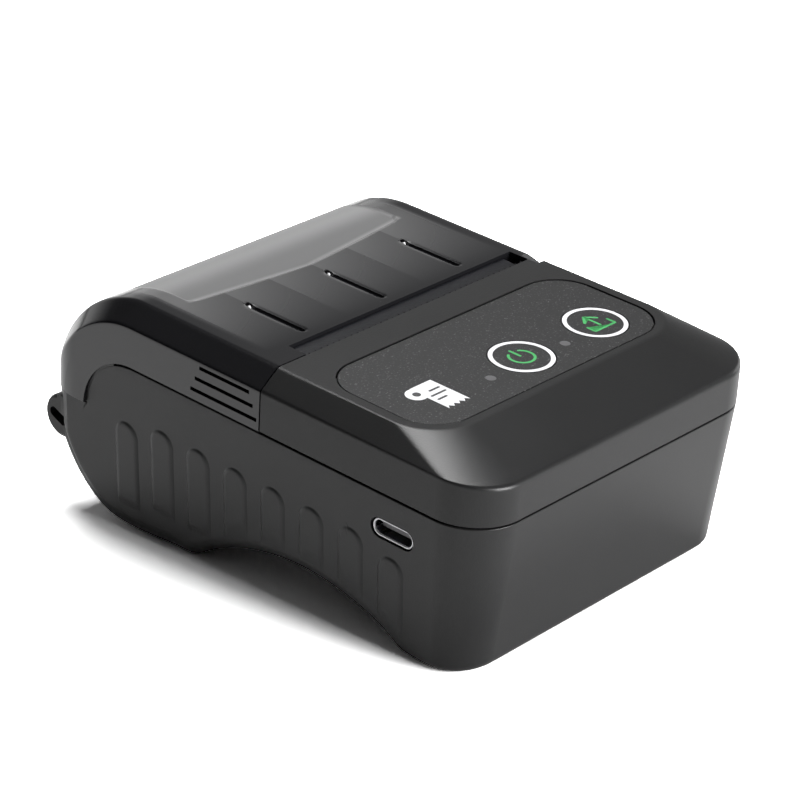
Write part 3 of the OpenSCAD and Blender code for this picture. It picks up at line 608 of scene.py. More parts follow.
# Pale domes at the grooves' rear ends: a painted glint.
GLINT_PIP = Finish("painted_glint_pip", (0.55, 0.55, 0.56), 0.12)
STEEL = Finish("steel_ground", (0.6, 0.61, 0.63), 0.28, 1.0, grain=Grain.COARSE, drift=0.08)
RUBBER = Finish("platen_black", (0.022, 0.022, 0.024), 0.55, grain=Grain.FINE, depth=8e-6)
FOOT = Finish("foot_rubber", (0.028, 0.028, 0.03), 0.7, grain=Grain.FINE, depth=1e-5)
WHITE_PLASTIC = Finish("gear_white", (0.72, 0.71, 0.66), 0.38, grain=Grain.COARSE, drift=0.05)
FRAME_GREY = Finish("frame_moulded", (0.06, 0.063, 0.07), 0.48, grain=Grain.FINE, depth=8e-6)
ALUMINIUM = Finish("head_sink", (0.62, 0.63, 0.65), 0.34, 1.0, grain=Grain.COARSE, drift=0.06)
CERAMIC = Finish("head_ceramic", (0.11, 0.05, 0.028), 0.2, coat=0.5, coat_rough=0.08)
CAN = Finish("motor_zinc", (0.52, 0.53, 0.55), 0.3, 1.0, grain=Grain.COARSE, drift=0.05)
BRASS = Finish("pinion_brass", (0.66, 0.46, 0.18), 0.3, 1.0)
CHIP = Finish("chip_epoxy", (0.014, 0.014, 0.016), 0.45, grain=Grain.FINE, depth=6e-6)
BOARD = Finish("board_mask", (0.015, 0.11, 0.05), 0.3, coat=0.3, grain=Grain.COARSE,
               fleck=(0.0325, 0.18, 0.085))
TIN = Finish("module_can", (0.6, 0.61, 0.62), 0.3, 1.0, grain=Grain.COARSE, drift=0.05)
BRIGHT = Finish("socket_bright", (0.78, 0.78, 0.8), 0.14, 1.0)
# Near-white and mostly matt: painted sheen standing in for the steel rim's bright reflection.
SHEEN_RIM = Finish("socket_sheen_rim", (0.8, 0.8, 0.82), 0.3, 0.2)
TONGUE = Finish("socket_tongue", (0.1, 0.1, 0.105), 0.35)
RED_PLASTIC = Finish("plunger_red", (0.5, 0.06, 0.035), 0.35)
SLEEVE = Finish("battery_sleeve", (0.03, 0.1, 0.3), 0.22, coat=0.4, grain=Grain.COARSE, drift=0.04)
FOAM = Finish("foam_grey", (0.05, 0.05, 0.055), 0.9, grain=Grain.COARSE, depth=8e-5)
BLACK_SCREW = Finish("screw_black", (0.09, 0.09, 0.1), 0.35, 1.0)


# Outer form of the case

@dataclass(frozen=True)
class CaseForm:
    """Sizes of the case's outer form, in the case frame."""

    half_w: float = 37.5
    front_y: float = -52.1
    rear_y: float = 52.1
    corner_r: float = 9.7
    rear_r: float = 8.0
    side_tan: float = math.tan(math.radians(3.3))
    front_tan: float = math.tan(math.radians(6.0))
    roll_y: float = 28.8
    roll_z: float = -12.2
    body_r: float = 23.3
    ear_r: float = 12.05
    top_h: float = 11.1
    crest_y: float = -38.0
    crest_hw: float = 33.4
    crest_r: float = 9.4
    floor_h: float = 0.2
    arch_y: float = -12.586
    arch_z: float = -70.156
    arch_r: float = 46.07
    hinge_y: float = 52.6
    hinge_z: float = -11.5
    knuckle_r: float = 1.86
    knuckle_reach: float = 2.3

    @property
    def corner(self) -> Pair:
        """Centre of the right front corner in plan."""
        return self.half_w - self.corner_r, self.front_y + self.corner_r

    @property
    def crest(self) -> Pair:
        """Centre of the right front corner of the flat roof in plan."""
        return self.crest_hw - self.crest_r, self.crest_y + self.crest_r

    def plan(self, p: Array) -> Array:
        """Signed distance to the drafted plan outline, for (N, 3) case points."""
        ax, y, depth = np.abs(p[:, 0]), p[:, 1], np.maximum(-p[:, 2], 0.0)
        sx, sf = depth * self.side_tan, depth * self.front_tan
        fore = y < 0.0
        rx = np.where(fore, self.corner_r, self.rear_r) - sx
        ry = np.where(fore, self.corner_r - sf, self.rear_r)
        qx = ax - (self.half_w - sx - rx)
        qy = np.where(fore, self.front_y + sf + ry - y, y - (self.rear_y - ry)) * rx / ry
        return round_corner(qx, qy, rx)

    def from_roll(self, y: Array, z: Array) -> Array:
        """Distance from the roll's axis."""
        return np.hypot(y - self.roll_y, z - self.roll_z)

    def wall_x(self, z: Array) -> Array:
        """Distance of the drafted side wall from the centre plane, at height z."""
        return self.half_w + np.minimum(z, 0.0) * self.side_tan

    def arch(self, y: Array) -> Array:
        """Height of the arch above case position y."""
        return self.arch_z + np.sqrt(np.maximum(self.arch_r ** 2 - (y - self.arch_y) ** 2, 0.0))

    def drum_low(self, y: Array) -> Array:
        """Height of the underside of the rear drum."""
        return self.roll_z - np.sqrt(np.maximum(self.body_r ** 2 - (y - self.roll_y) ** 2, 0.0))

    def off_hinge(self, p: Array) -> Array:
        """Above 0 except near the hinge's knuckles, for (N, 3) case points."""
        return np.hypot(p[:, 1] - self.hinge_y, p[:, 2] - self.hinge_z) - self.knuckle_reach

    def knuckle(self, x0: float, x1: float) -> Object:
        """The outer form of a hinge knuckle: a closed cylinder along X."""
        section = np.array([self.hinge_y, self.hinge_z]) + self.knuckle_r * circle(72)
        return tube("knuckle_form", along_x(np.array([x0, x1]), section))


FORM = CaseForm()


# Lower case

@dataclass
class LowerCase:
    """The lower shell: drafted tub with grip ribs, arch, rear drum, knuckles and lanyard lug.

    The drum's ends flare out to a rim; flare is the flare's slope and flare_cos the cosine of its angle.
    """

    inset: float = 0.015
    seam: float = -0.16
    seam_fillet: float = 0.24
    front_fillet: float = 1.3
    arch_fillet: float = 3.2
    rim_fillet: float = 2.5
    fillet_run: float = 13.0
    fillet_gap: float = 3.0
    arch_end: float = 20.0
    arch_blend: float = 0.9
    belly_blend: float = 2.4
    flare: float = 0.786
    flare_cos: float = 0.786
    rim_blend: float = 0.35
    drum_hw: float = 35.5
    drum_from: float = 18.0
    drum_below: float = -11.4
    rib_first: float = 30.6
    rib_pitch: float = 9.1
    rib_count: int = 8
    rib_w: float = 5.8
    rib_drop: float = 9.6
    rib_end_drop: float = 1.9
    rib_leg: float = 14.0
    rib_proud: float = 0.3
    rib_slope: float = 1.0
    rib_power: float = 2.2
    rib_foot: float = 2.6
    rib_fade: float = 4.0
    fan_from: float = 34.5
    side_step: float = 0.75
    ear_inset: float = 0.06
    ear_share: float = 0.72
    aim_share: float = 0.35
    ledge_gap: float = 0.7
    ledge_end: float = 17.8
    ledge_z: float = -11.65
    rim_arc: Pair = (22.0, 86.0)
    rim_fill: float = 0.26
    rim_sunk: float = 0.02
    lug_at: Pair = (49.6, -18.4)
    lug_x: Pair = (-35.29, -31.31)
    lug_r: float = 4.19
    lug_edge: float = 0.8
    lug_neck: float = 5.0
    lug_middle: float = -33.3
    lug_reach: Pair = (4.4, 2.2)
    socket_at: Pair = (-33.3, -6.8)
    socket_x: Pair = (-36.78, -36.41)
    socket_r: float = 1.62
    socket_run: float = 2.85
    socket_wall: float = 0.3
    knuckles: tuple[Pair, ...] = ((-27.6, -24.0), (-14.0, 14.0), (24.0, 27.6))

    def ribs(self, y: Array, z: Array, foot: Array) -> Array:
        """Height of the grip ribs above the wall.

        Each rib is a stadium standing on end: the distance inside its outline runs through a power ease,
        so the rib rises steeply and rounds off at its full height. It dies away over the last millimetres
        to the foot.

        Args:
            y: case position along the wall.
            z: case height.
            foot: case height of the wall's lower edge.
        Returns:
            The height in millimetres.
        """
        i = np.clip(np.round((self.rib_first - y) / self.rib_pitch), 0, self.rib_count - 1)
        end = (i == 0) | (i == self.rib_count - 1)
        off = np.abs(y - (self.rib_first - i * self.rib_pitch))
        mid = -self.rib_drop - np.where(end, self.rib_end_drop, 0.0) - self.rib_w / 2
        inside = self.rib_w / 2 - np.where(z > mid, np.hypot(off, z - mid), off)
        inside = np.minimum(inside, z - (mid - self.rib_leg))
        rise = 1.0 - (1.0 - np.clip(inside / self.rib_slope, 0.0, 1.0)) ** self.rib_power
        return self.rib_proud * rise * smooth_step((z - foot - self.rib_foot) / self.rib_fade)

    def bottom(self, y: Array) -> Array:
        """Height of the underside at case position y: table, arch or drum, whichever is highest."""
        ground = CASE.level(y, FORM.floor_h + self.inset)
        arch = np.where(y < self.arch_end, FORM.arch(y) + self.inset, -80.0)
        z = smooth_max(ground, arch, self.arch_blend)
        return smooth_max(z, FORM.drum_low(np.maximum(y, FORM.roll_y)) + self.inset, self.belly_blend)

    def stations(self) -> Array:
        """Positions of the columns along the side, back to front: even ones, and more on the ribs' edges."""
        front = FORM.corner[1]
        even = np.linspace(self.fan_from, front, int((self.fan_from - front) / self.side_step) + 1)
        past = np.array([0.05, -0.04, -0.1, -0.18, -0.28, -0.4])
        off = np.sin(np.radians(np.linspace(0, 90, 17)))
        off = np.concatenate([self.rib_w / 2 * off, self.rib_w / 2 + past])
        ribs = self.rib_first - self.rib_pitch * np.arange(self.rib_count)[:, None]
        y = np.concatenate([even, (ribs + off).ravel(), (ribs - off).ravel()])
        return np.unique(np.round(y[(y <= self.fan_from) & (y >= front)], 2))[::-1]

    def rear_fan(self, s: Array) -> tuple[Array, Array, Array]:
        """Ends of the columns round the rear, along the ear and its ledge and along the drum's underside.

        Args:
            s: share of the way to the rear lip, 0 where the side begins.
        Returns:
            The upper and the lower ends as (N, 2) points of Y and Z, and unit vectors up from the lower.
        """
        f, ear, low_r = FORM, FORM.ear_r - self.ear_inset, FORM.body_r - self.inset
        over = self.fan_from - f.roll_y
        last = math.acos(self.ledge_gap / ear)
        angle = lerp(math.asin(over / ear), last, np.clip(s / self.ear_share, 0, 1))
        run = np.clip((s - self.ear_share) / (1 - self.ear_share), 0, 1)
        ledge_y = f.roll_y + lerp(ear * math.sin(last), self.ledge_end, run)
        on_ear = s <= self.ear_share
        top = np.stack([np.where(on_ear, f.roll_y + ear * np.sin(angle), ledge_y),
                        np.where(on_ear, f.roll_z + ear * np.cos(angle), self.ledge_z)], -1)
        angle = lerp(math.asin(over / f.body_r), QUARTER + math.asin(self.ledge_gap / f.body_r), s)
        low_y = f.roll_y + low_r * np.sin(angle)
        ground = CASE.level(low_y, f.floor_h + self.inset)
        low = np.stack([low_y, smooth_max(f.roll_z - low_r * np.cos(angle), ground, self.belly_blend)], -1)
        way = smooth_step(s / self.aim_share)[:, None]
        to_roll = unit(np.array([f.roll_y, f.roll_z]) - low)
        return top, low, unit(np.array([[0.0, 1.0]]) * (1 - way) + to_roll * way)

    def envelope(self) -> Object:
        """Builds the outer form as one closed surface of two parameters.

        The first parameter runs along the case, from the rear lip over the side, round the front corner to
        the centre of the front wall. The second runs from the centre plane over the seam's edge, down the
        drafted wall with its ribs, round the bottom edge and back to the centre plane. The wall's plan
        position is an ellipse about a fixed corner centre, whose radii shrink with depth by the draft.

        Returns:
            The closed object.
        """
        f, e, (cx0, cy0) = FORM, self.inset, FORM.corner
        # Columns: rear fan, side, corner, front
        fan = np.linspace(1.0, 0.0, 44)[:-1]
        side_y = self.stations()
        corner = np.linspace(0.0, -QUARTER, 26)[1:]
        front_x = np.linspace(cx0, 0.0, 12)[1:]
        fore = np.concatenate([corner, np.full(len(front_x), -QUARTER)])
        n_fan, n_rear = len(fan), len(fan) + len(side_y)
        theta = np.concatenate([np.zeros(n_rear), fore])
        cx = np.concatenate([np.full(n_rear + len(corner), cx0), front_x])
        is_side = (theta == 0.0)[:, None]
        # Upper and lower end of each column in the side view
        fan_top, fan_low, fan_up = self.rear_fan(fan)
        over = np.maximum(side_y - f.roll_y, 0.0)
        ear_z = f.roll_z + np.sqrt((f.ear_r - self.ear_inset) ** 2 - over ** 2)
        side_top = np.stack([side_y, np.where(side_y > f.roll_y, ear_z, self.seam)], -1)
        # The front's lower edge stands on the table: four rounds settle its radius and height
        radius = f.corner_r - 3.4
        for _ in range(4):
            ground = CASE.level(cy0 + radius * np.sin(fore), f.floor_h + e)
            radius = f.corner_r + ground * f.front_tan
        top = np.concatenate([fan_top, side_top, np.tile([[cy0, self.seam]], (len(fore), 1))])
        low = np.concatenate([fan_low, np.stack([side_y, self.bottom(side_y)], -1),
                              np.stack([np.full(len(fore), cy0), ground], -1)])
        up = np.concatenate([fan_up, np.tile([[0.0, 1.0]], (len(top) - n_fan, 1))])
        # Fillet of the bottom edge and share of the drum, column by column
        drum = smooth_step((low[:, 0] - self.drum_from) / (f.roll_y - self.drum_from))
        back = smooth_step((low[:, 0] - cy0) / self.fillet_run)
        fillet = lerp(lerp(self.front_fillet, self.arch_fillet, back), self.rim_fillet, drum)[:, None]
        # Rows down the straight part: the seam's edge, the ribs' height, and on to the fillet. Where the
        # wall is lower than its rows need, they are squeezed into a share of it
        full, share, out_of_reach = 19.0, 0.86, 99.0
        seam_rows = np.array([0.0, 0.02, 0.07, 0.14, 0.24])
        seam_in = np.array([0.24, 0.13, 0.055, 0.015, 0.0])
        seam_in *= self.seam_fillet / seam_in[0]
        wall_rows = [np.linspace(1.5, 8.9, 6), np.linspace(9.2, 15.0, 38), np.linspace(15.6, 17.5, 4)]
        wall_rows = np.concatenate(wall_rows)[None, :]
        foot = low + up * (fillet + self.fillet_gap)
        straight = np.maximum(np.linalg.norm(foot - top, axis=1), 1e-6)[:, None]
        rows = np.where(straight > full, wall_rows, wall_rows / wall_rows[0, -1] * straight * share)
        tail = np.linspace(0.0, 1.0, 14)[1:][None, :]
        rows = np.concatenate([np.minimum(seam_rows[None, :], straight * 0.02), rows,
                               rows[:, -1:] + (straight - rows[:, -1:]) * tail], 1)
        upper = top[:, None, :] + (foot - top)[:, None, :] * (rows / straight)[:, :, None]
        # Rows above and round the fillet, by their distance from the lower end
        phi = np.linspace(0.0, QUARTER, 9)[1:]
        above = np.concatenate([fillet + np.array([[2.4, 1.8, 1.2, 0.7, 0.3, 0.0]]),
                                fillet * (1.0 - np.sin(phi))], 1)
        line = np.concatenate([upper, low[:, None, :] + up[:, None, :] * above[:, :, None]], 1)
        y, z, n_up = line[:, :, 0], line[:, :, 1], upper.shape[1]
        # Side wall: draft, ribs, and the drum's rim, which limits it by the distance from the lower edge
        high = np.abs(z[:, :n_up] - low[:, 1:])
        high[:n_fan] = np.maximum(f.body_r - f.from_roll(y, z), 0.0)[:n_fan, :n_up]
        past = np.maximum(np.concatenate([high, above], 1) - fillet, 0.0)
        wall = f.wall_x(z)
        rim = lerp(wall, self.drum_hw, drum[:, None]) + past * self.flare
        rim = np.where(drum[:, None] > 0.02, rim, out_of_reach)
        off = np.zeros_like(z)
        off[:, -len(phi):] = fillet * (1.0 - np.cos(phi))
        off[:, :len(seam_in)] = seam_in
        side_x = -smooth_max(-wall, -rim, self.rim_blend) - e - off
        side_x = side_x + self.ribs(y, z, low[:, 1:]) * is_side
        # Corner and front wall, whose underside follows the table
        rx, ry = (f.corner_r + z * draft - e - off for draft in (f.side_tan, f.front_tan))
        c, s = np.cos(theta)[:, None], np.sin(theta)[:, None]
        x = np.where(is_side, side_x, cx[:, None] + rx * c)
        y = y + np.where(is_side, 0.0, ry * s)
        z = z.copy()
        z[n_rear:, n_up:] = CASE.level(y[n_rear:, n_up:], f.floor_h + e) + above[n_rear:]
        middle = np.zeros((len(top), 1))
        end_z = np.where(is_side, low[:, 1:], CASE.level(cy0, f.floor_h + e))
        start = np.concatenate([middle, top], 1)[:, None, :]
        end = np.concatenate([middle, low[:, :1], end_z], 1)[:, None, :]
        return mirrored_shell("lower_envelope", np.concatenate([start, np.stack([x, y, z], -1), end], 1))

    def skin(self, p: Array) -> Array:
        """Signed distance to the shell's outer skin, for (N, 3) case points."""
        f, soft, (x, y, z) = FORM, 0.6, p.T
        d = smooth_max(f.plan(p), CASE.level(y, f.floor_h) - z, soft)
        d = smooth_max(d, f.arch_r - np.hypot(y - f.arch_y, z - f.arch_z), soft)
        r, ax = f.from_roll(y, z), np.abs(x)
        past = r - (f.body_r - self.rim_fillet)
        rim = round_corner(past, ax - (self.drum_hw - self.rim_fillet), self.rim_fillet)
        flare = (ax - self.drum_hw + past * self.flare) * self.flare_cos
        drum = np.maximum(rim, np.where(r > self.drum_from, flare, -9.0))
        return np.where((y > f.roll_y) & (z < self.drum_below), np.maximum(d, drum), d)

    def keep(self, p: Array) -> Array:
        """Above 0 except on the knuckles and the lug, whose points stay."""
        round_lug = np.hypot(p[:, 1] - self.lug_at[0], p[:, 2] - self.lug_at[1]) - self.lug_reach[0]
        lug = np.maximum(round_lug, np.abs(p[:, 0] - self.lug_middle) - self.lug_reach[1])
        return np.minimum(FORM.off_hinge(p), lug)

    def lug(self) -> Object:
        """The lanyard lug's outer form: a disc and its neck carried across X, with rounded rims.

        The outline is a circle closed by a square neck; its inset follows a quarter circle at each side.

        Returns:
            The closed object.
        """
        q = np.linspace(0.0, QUARTER, 7)
        (x0, x1), bend = self.lug_x, self.lug_edge * (1 - np.cos(q))
        inset = self.lug_edge * (1 - np.sin(q))
        r = self.lug_r - np.concatenate([inset, inset[::-1]])[:, None, None]
        disc = r * polar(np.linspace(-QUARTER, QUARTER, 41))
        neck = np.concatenate([np.broadcast_to(-self.lug_neck, (len(r), 2, 1)),
                               r * np.array([[1.0], [-1.0]])], -1)
        section = np.array(self.lug_at) + np.concatenate([disc, neck], 1)
        return tube("lug_form", along_x(np.concatenate([x0 + bend, x1 - bend[::-1]]), section))

    def ear_rim(self, side: int) -> None:
        """Adds the rear ear's moulded rim, which fills most of the joint to the lid.

        Args:
            side: -1 for the left ear, 1 for the right one.
        """
        f = FORM
        a = np.radians(np.linspace(*self.rim_arc, 40))
        r0, r1 = f.ear_r - 0.12, f.ear_r + self.rim_fill
        loop = []
        for r, deep in ((r0, 1.2), (r1, 1.2), (r1, self.rim_sunk), (r0, self.rim_sunk)):
            y, z = f.roll_y + r * np.sin(a), f.roll_z + r * np.cos(a)
            loop.append(np.stack([side * (f.wall_x(z) - self.inset - deep), y, z], -1))
        loops = np.stack(loop[::-side], 1)
        rim = tube("ear_rim_left" if side < 0 else "ear_rim_right", loops)
        dress(rim, "base", "shell", SHELL, smooth=30.0)

    def socket_sheen_rim(self) -> None:
        """Adds the socket's mouth rim: a stadium ring along X, front edge rounded, pale as painted sheen."""
        (x0, x1), bevel = self.socket_x, (0.07, 0.08)
        out, inner = self.socket_r, self.socket_r - self.socket_wall
        section = ((out, x1), (out, x0 + bevel[1]), (out - bevel[0], x0), (inner + bevel[0], x0),
                   (inner, x0 + bevel[1]), (inner, x1))
        around = circle(64)
        run = np.where(around[:, :1] >= 0, self.socket_run, -self.socket_run) * np.array([1.0, 0.0])
        loops = np.stack([np.array(self.socket_at) + run + r * around for r, _ in section])
        rim = tube("socket_sheen_rim", along_x(np.array([x for _, x in section]), loops), ring=True)
        dress(rim, "base", "bright_shell", SHEEN_RIM, smooth=40.0)

    def build(self) -> None:
        """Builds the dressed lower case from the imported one."""
        shell = merged_copy("lower_case", "lower_case_shell")
        push_out(shell, self.skin, self.keep)
        outer = self.envelope()
        combine(outer, self.lug(), "UNION")
        for x0, x1 in self.knuckles:
            combine(outer, FORM.knuckle(x0, x1), "UNION")
        combine(shell, outer, "INTERSECT")
        dress(shell, "base", "shell", SHELL, "lower_case", smooth=32.0)
        for side in (-1, 1):
            self.ear_rim(side)
        self.socket_sheen_rim()


# Top case

@dataclass
class TopCase:
    """The front upper shell: short walls, sloping facets and a flat roof."""

    inset: float = 0.015
    seam: float = 0.16
    seam_fillet: float = 0.2
    shoulder_front: float = 7.25
    shoulder_side: float = 7.9
    side_fillet: float = 0.55
    front_fillet: float = 0.9
    crest_fillet: float = 0.55
    rear_y: float = -2.0

    def envelope(self) -> Object:
        """Builds the outer form as one closed surface of two parameters.

        The first parameter runs along the side, round the corner and along the front; wall and roof points
        are paired by the direction of their outlines, so the facet between them is ruled. The second runs
        up the wall, over the shoulder, up the facet, over the crest and in to the centre plane. Shoulder
        and crest are parabolic arcs tangent to their neighbours.

        Returns:
            The closed object.
        """
        f, e = FORM, self.inset
        t = np.linspace(0, 1, 14)
        corner = np.linspace(0, -QUARTER, 34)[1:]
        u = t[1:]
        theta = np.concatenate([np.zeros_like(t), corner, np.full_like(u, -QUARTER)])
        side, n = theta == 0.0, len(theta)
        w = np.linspace(0, 1, 9)[None, :, None]

        def centres(x: float, y: float) -> Array:
            """The outline's centre for each column: it slides along the side and along the front."""
            along = np.stack([np.full_like(t, x), lerp(self.rear_y, y, t)], -1)
            front = np.stack([lerp(x, 0, u), np.full_like(u, y)], -1)
            return np.concatenate([along, np.tile([[x, y]], (len(corner), 1)), front])

        def bend(at: Array, a: Array, b: Array, size: Array) -> Array:
            """Parabolic arc at a corner, from direction a into direction b."""
            k = size[:, None, None]
            return at[:, None] - (1 - w) ** 2 * k * a[:, None] + w ** 2 * k * b[:, None]

        def between(a: Array, b: Array, count: int) -> Array:
            """Points between the end of one arc and the start of the next."""
            return lerp(a[:, -1:], b[:, :1], np.linspace(0, 1, count)[1:-1][None, :, None])

        out = polar(theta)
        share = smooth_step(-theta / QUARTER)
        wall = centres(*f.corner) + out * (f.corner_r - e)
        roof = centres(*f.crest) + out * (f.crest_r - e)
        base = np.concatenate([wall, np.full((n, 1), self.seam)], 1)
        shoulder_z = lerp(self.shoulder_side, self.shoulder_front, share)
        shoulder_at = np.concatenate([wall, shoulder_z[:, None]], 1)
        crest_at = np.concatenate([roof, np.full((n, 1), f.top_h - e)], 1)
        up = np.tile([[0.0, 0.0, 1.0]], (n, 1))
        slope = unit(crest_at - shoulder_at)
        inward = np.concatenate([-out, np.zeros((n, 1))], 1)
        lip = bend(base, -inward, up, np.full(n, self.seam_fillet))
        shoulder = bend(shoulder_at, up, slope, lerp(self.side_fillet, self.front_fillet, share))
        crest = bend(crest_at, slope, inward, np.full(n, self.crest_fillet))
        ends = []
        for at, y in ((base, f.corner[1]), (crest_at, f.crest[1])):
            ends.append(np.stack([np.zeros(n), np.where(side, at[:, 1], y), at[:, 2]], -1)[:, None])
        wall_rows, facet_rows = between(lip, shoulder, 5), between(shoulder, crest, 8)
        rows = [ends[0], lip, wall_rows, shoulder, facet_rows, crest, ends[1]]
        return mirrored_shell("top_envelope", np.concatenate(rows, 1))

    def skin(self, p: Array) -> Array:
        """Signed distance to the walls and the roof, for (N, 3) case points."""
        return smooth_max(FORM.plan(p), p[:, 2] - FORM.top_h, 0.5)

    def build(self) -> None:
        """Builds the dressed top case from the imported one."""
        shell = merged_copy("top_case", "top_case_shell")
        push_out(shell, self.skin)
        combine(shell, self.envelope(), "INTERSECT")
        dress(shell, "base", "shell", SHELL, "top_case", smooth=32.0)


# Paper cover

@dataclass
class PaperCover:
    """The smoky lid: flat front part, drum shaped rear, bevelled long edges, grooves and a sunk window."""

    inset: float = 0.015
    soft: float = 0.4
    bevel_run: Pair = (3.2, 4.1)
    bevel_r: float = 20.1
    low_r: Pair = (12.0, 13.0)
    front_y: float = -3.4
    ray_x: float = 20.0
    ray_r: float = 14.0
    ray_reach: float = 30.0
    window_hw: float = 27.5
    window_y: float = 21.2
    window_bow: float = 0.115
    window_end: float = 54.8
    window_r: float = 2.6
    window_depth: float = 0.34
    window_slope: float = 1.0
    bow_soft: float = 0.2
    window_fade: Triple = (0.92, 31.0, 9.0)
    groove_x: Pair = (0.0, 20.1)
    groove_y: Pair = (4.6, 18.2)
    groove_r: float = 0.6
    groove_lip: float = 0.26
    groove_soft: float = 0.45
    groove_fade: Pair = (1.6, 1.4)
    groove_deep: Pair = (0.6, 0.93)
    bed_gap: float = 0.002
    bed_drop: float = 0.02
    # Domes that stand for a glint at each groove's rear end, pale as a painted highlight.
    glint_pip_r: float = 0.3
    glint_pip_y: float = 17.4
    glint_pip_sunk: float = 0.5
    glint_pip_stem: float = 0.4
    lip_z: Pair = (10.28, 10.02)
    lip_y: Pair = (1.75, -2.05)
    lip_x: Pair = (-26.35, 29.6)
    lip_r: float = 0.32
    lip_power: float = 1.4
    lip_under: tuple[Pair, Pair] = ((0.2, 9.3), (1.75, 9.25))
    knuckle_x: Pair = (-19.0, 19.0)
    knuckle_hw: float = 5.2

    def relief(self, x: Array, s: Array) -> Array:
        """Depth of the sunk window and of the grooves' soft lips below the plain lid.

        The window is a rectangle with round corners and a bowed front edge; its depth eases in over the
        distance inside its outline. A groove's lip eases out over the distance from its stadium.

        Args:
            x: distance from the centre plane.
            s: length along the lid, which is Y as far as the roll's axis and then the arc.
        Returns:
            The depth in millimetres.
        """
        front = self.window_y + np.sqrt(self.bow_soft + (self.window_bow * x) ** 2)
        r, (share, fade_from, fade_run) = self.window_r, self.window_fade
        past = np.maximum(front + r - s, s - (self.window_end - r))
        inside = -round_corner(x - (self.window_hw - r), past, r)
        left = 1.0 - share * smooth_step((s - fade_from) / fade_run)
        depth = self.window_depth * smooth_step(inside / self.window_slope) * left
        y0, y1 = self.groove_y
        for gx in self.groove_x:
            gap = np.hypot(x - gx, np.maximum(np.maximum(y0 - s, s - y1), 0.0)) - self.groove_r
            fade = smooth_step((s - y1 + self.groove_fade[0]) / self.groove_fade[1])
            lip = self.groove_lip * (1.0 - fade)
            depth = np.maximum(depth, lip * (1.0 - smooth_step(gap / self.groove_soft)))
        return depth

    def section(self, x: Array, r: Array, y: Array, depth: Array | float = 0.0) -> Array:
        """Signed distance in a section: plan wall, bevel and crown, softly joined.

        Args:
            x: distance from the centre plane.
            r: distance from the roll's axis.
            y: case position, for the plan outline.
            depth: how far the crown is sunk.
        Returns:
            The distance, negative inside.
        """
        f, (along, across) = FORM, self.bevel_run
        plan = round_corner(x - (f.half_w - f.rear_r), y - (f.rear_y - f.rear_r), f.rear_r)
        bevel = ((x - f.half_w) * along + (r - self.bevel_r) * across) / math.hypot(along, across)
        return smooth_max(smooth_max(plan, bevel, self.soft), r - f.body_r + depth, self.soft)

    def envelope(self) -> Object:
        """Builds the outer form as one closed surface of two parameters.

        The first parameter runs back along the flat part and then round the roll's axis. The second runs
        through a family of rays in the section, first a fan from a point inside, then parallel ones across
        the crown; each is followed to where the section's distance is zero, found by halving an interval
        for all rays at once.

        Returns:
            The closed object.
        """
        f = FORM
        flat = np.unique(np.concatenate([np.linspace(self.front_y, f.roll_y, 22), np.arange(3.2, 5.0, 0.2),
                                         np.arange(17.8, 27.2, 0.25)]))
        turned = np.radians(np.concatenate([np.linspace(0, 94, 70)[1:], np.linspace(58, 65, 12)]))
        turned = np.unique(turned)
        at_y = np.concatenate([flat, np.full_like(turned, f.roll_y)])[:, None]
        at_a = np.concatenate([np.zeros_like(flat), turned])[:, None]
        run = at_y + f.body_r * at_a
        fan = np.radians(np.concatenate([np.linspace(0, 12, 4), np.linspace(13, 44, 46)]))
        near = np.array([2.4, 1.5, 1.1, 0.95, 0.8, 0.7, 0.55, 0.3])
        gx = self.groove_x[1]
        cross = np.concatenate([np.arange(29.0, 25.2, -0.2), [24.0, 23.2], gx + near, [gx],
                                gx - near[::-1], [16.0, 13.0, 10.0, 7.0, 4.5], near, [0.0]])
        start = np.concatenate([np.full_like(fan, self.ray_x), cross])[None]
        way = np.concatenate([polar(fan), np.tile([[0.0, 1.0]], (len(cross), 1))])
        lo = np.zeros((len(at_y), start.shape[1]))
        hi = np.full_like(lo, self.ray_reach)
        for _ in range(40):
            t = (lo + hi) / 2
            x, r = start + t * way[:, 0], self.ray_r + t * way[:, 1]
            out = self.section(x, r, at_y + r * np.sin(at_a), self.relief(x, run)) + self.inset > 0
            lo, hi = np.where(out, lo, t), np.where(out, t, hi)
        x, r = start + lo * way[:, 0], self.ray_r + lo * way[:, 1]
        edge = x[:, :1]
        low, high = (np.full_like(edge, radius) for radius in self.low_r)
        xs = np.concatenate([np.zeros_like(edge), edge, edge, x], 1)
        rs = np.concatenate([low, low, high, r], 1)
        half = np.stack([xs, at_y + rs * np.sin(at_a), f.roll_z + rs * np.cos(at_a)], -1)
        return mirrored_shell("cover_envelope", half, caps=(0, len(at_y) - 1))

    def groove_bed(self, x: float, number: int) -> None:
        """Lays a round bed with domed ends in a groove, darker than the lid as painted shade.

        The bed is a stack of stadium loops whose distance from the groove's centre line and depth follow a
        quarter circle; a last loop below closes it.

        Args:
            x: case X of the groove.
            number: number for the name.
        """
        around, r = circle(48), self.groove_r - self.bed_gap
        beta = np.linspace(0.02, QUARTER, 10)
        off = np.concatenate([np.sin(beta), [1.0]]) * r
        drop, (deep, lowest) = self.bed_drop, self.groove_deep
        depth = np.concatenate([self.groove_lip + drop + (deep - drop) * np.cos(beta), [lowest]])
        end = np.where(around[:, 1] > 0, self.groove_y[1], self.groove_y[0])
        centre = np.stack([np.full_like(end, x), end], -1)
        loops = at_levels(centre + off[:, None, None] * around, FORM.top_h - depth)
        dress(tube("groove_bed_%d" % number, loops), "cover", "cover_smoke", GROOVE_SHADE, smooth=50.0)

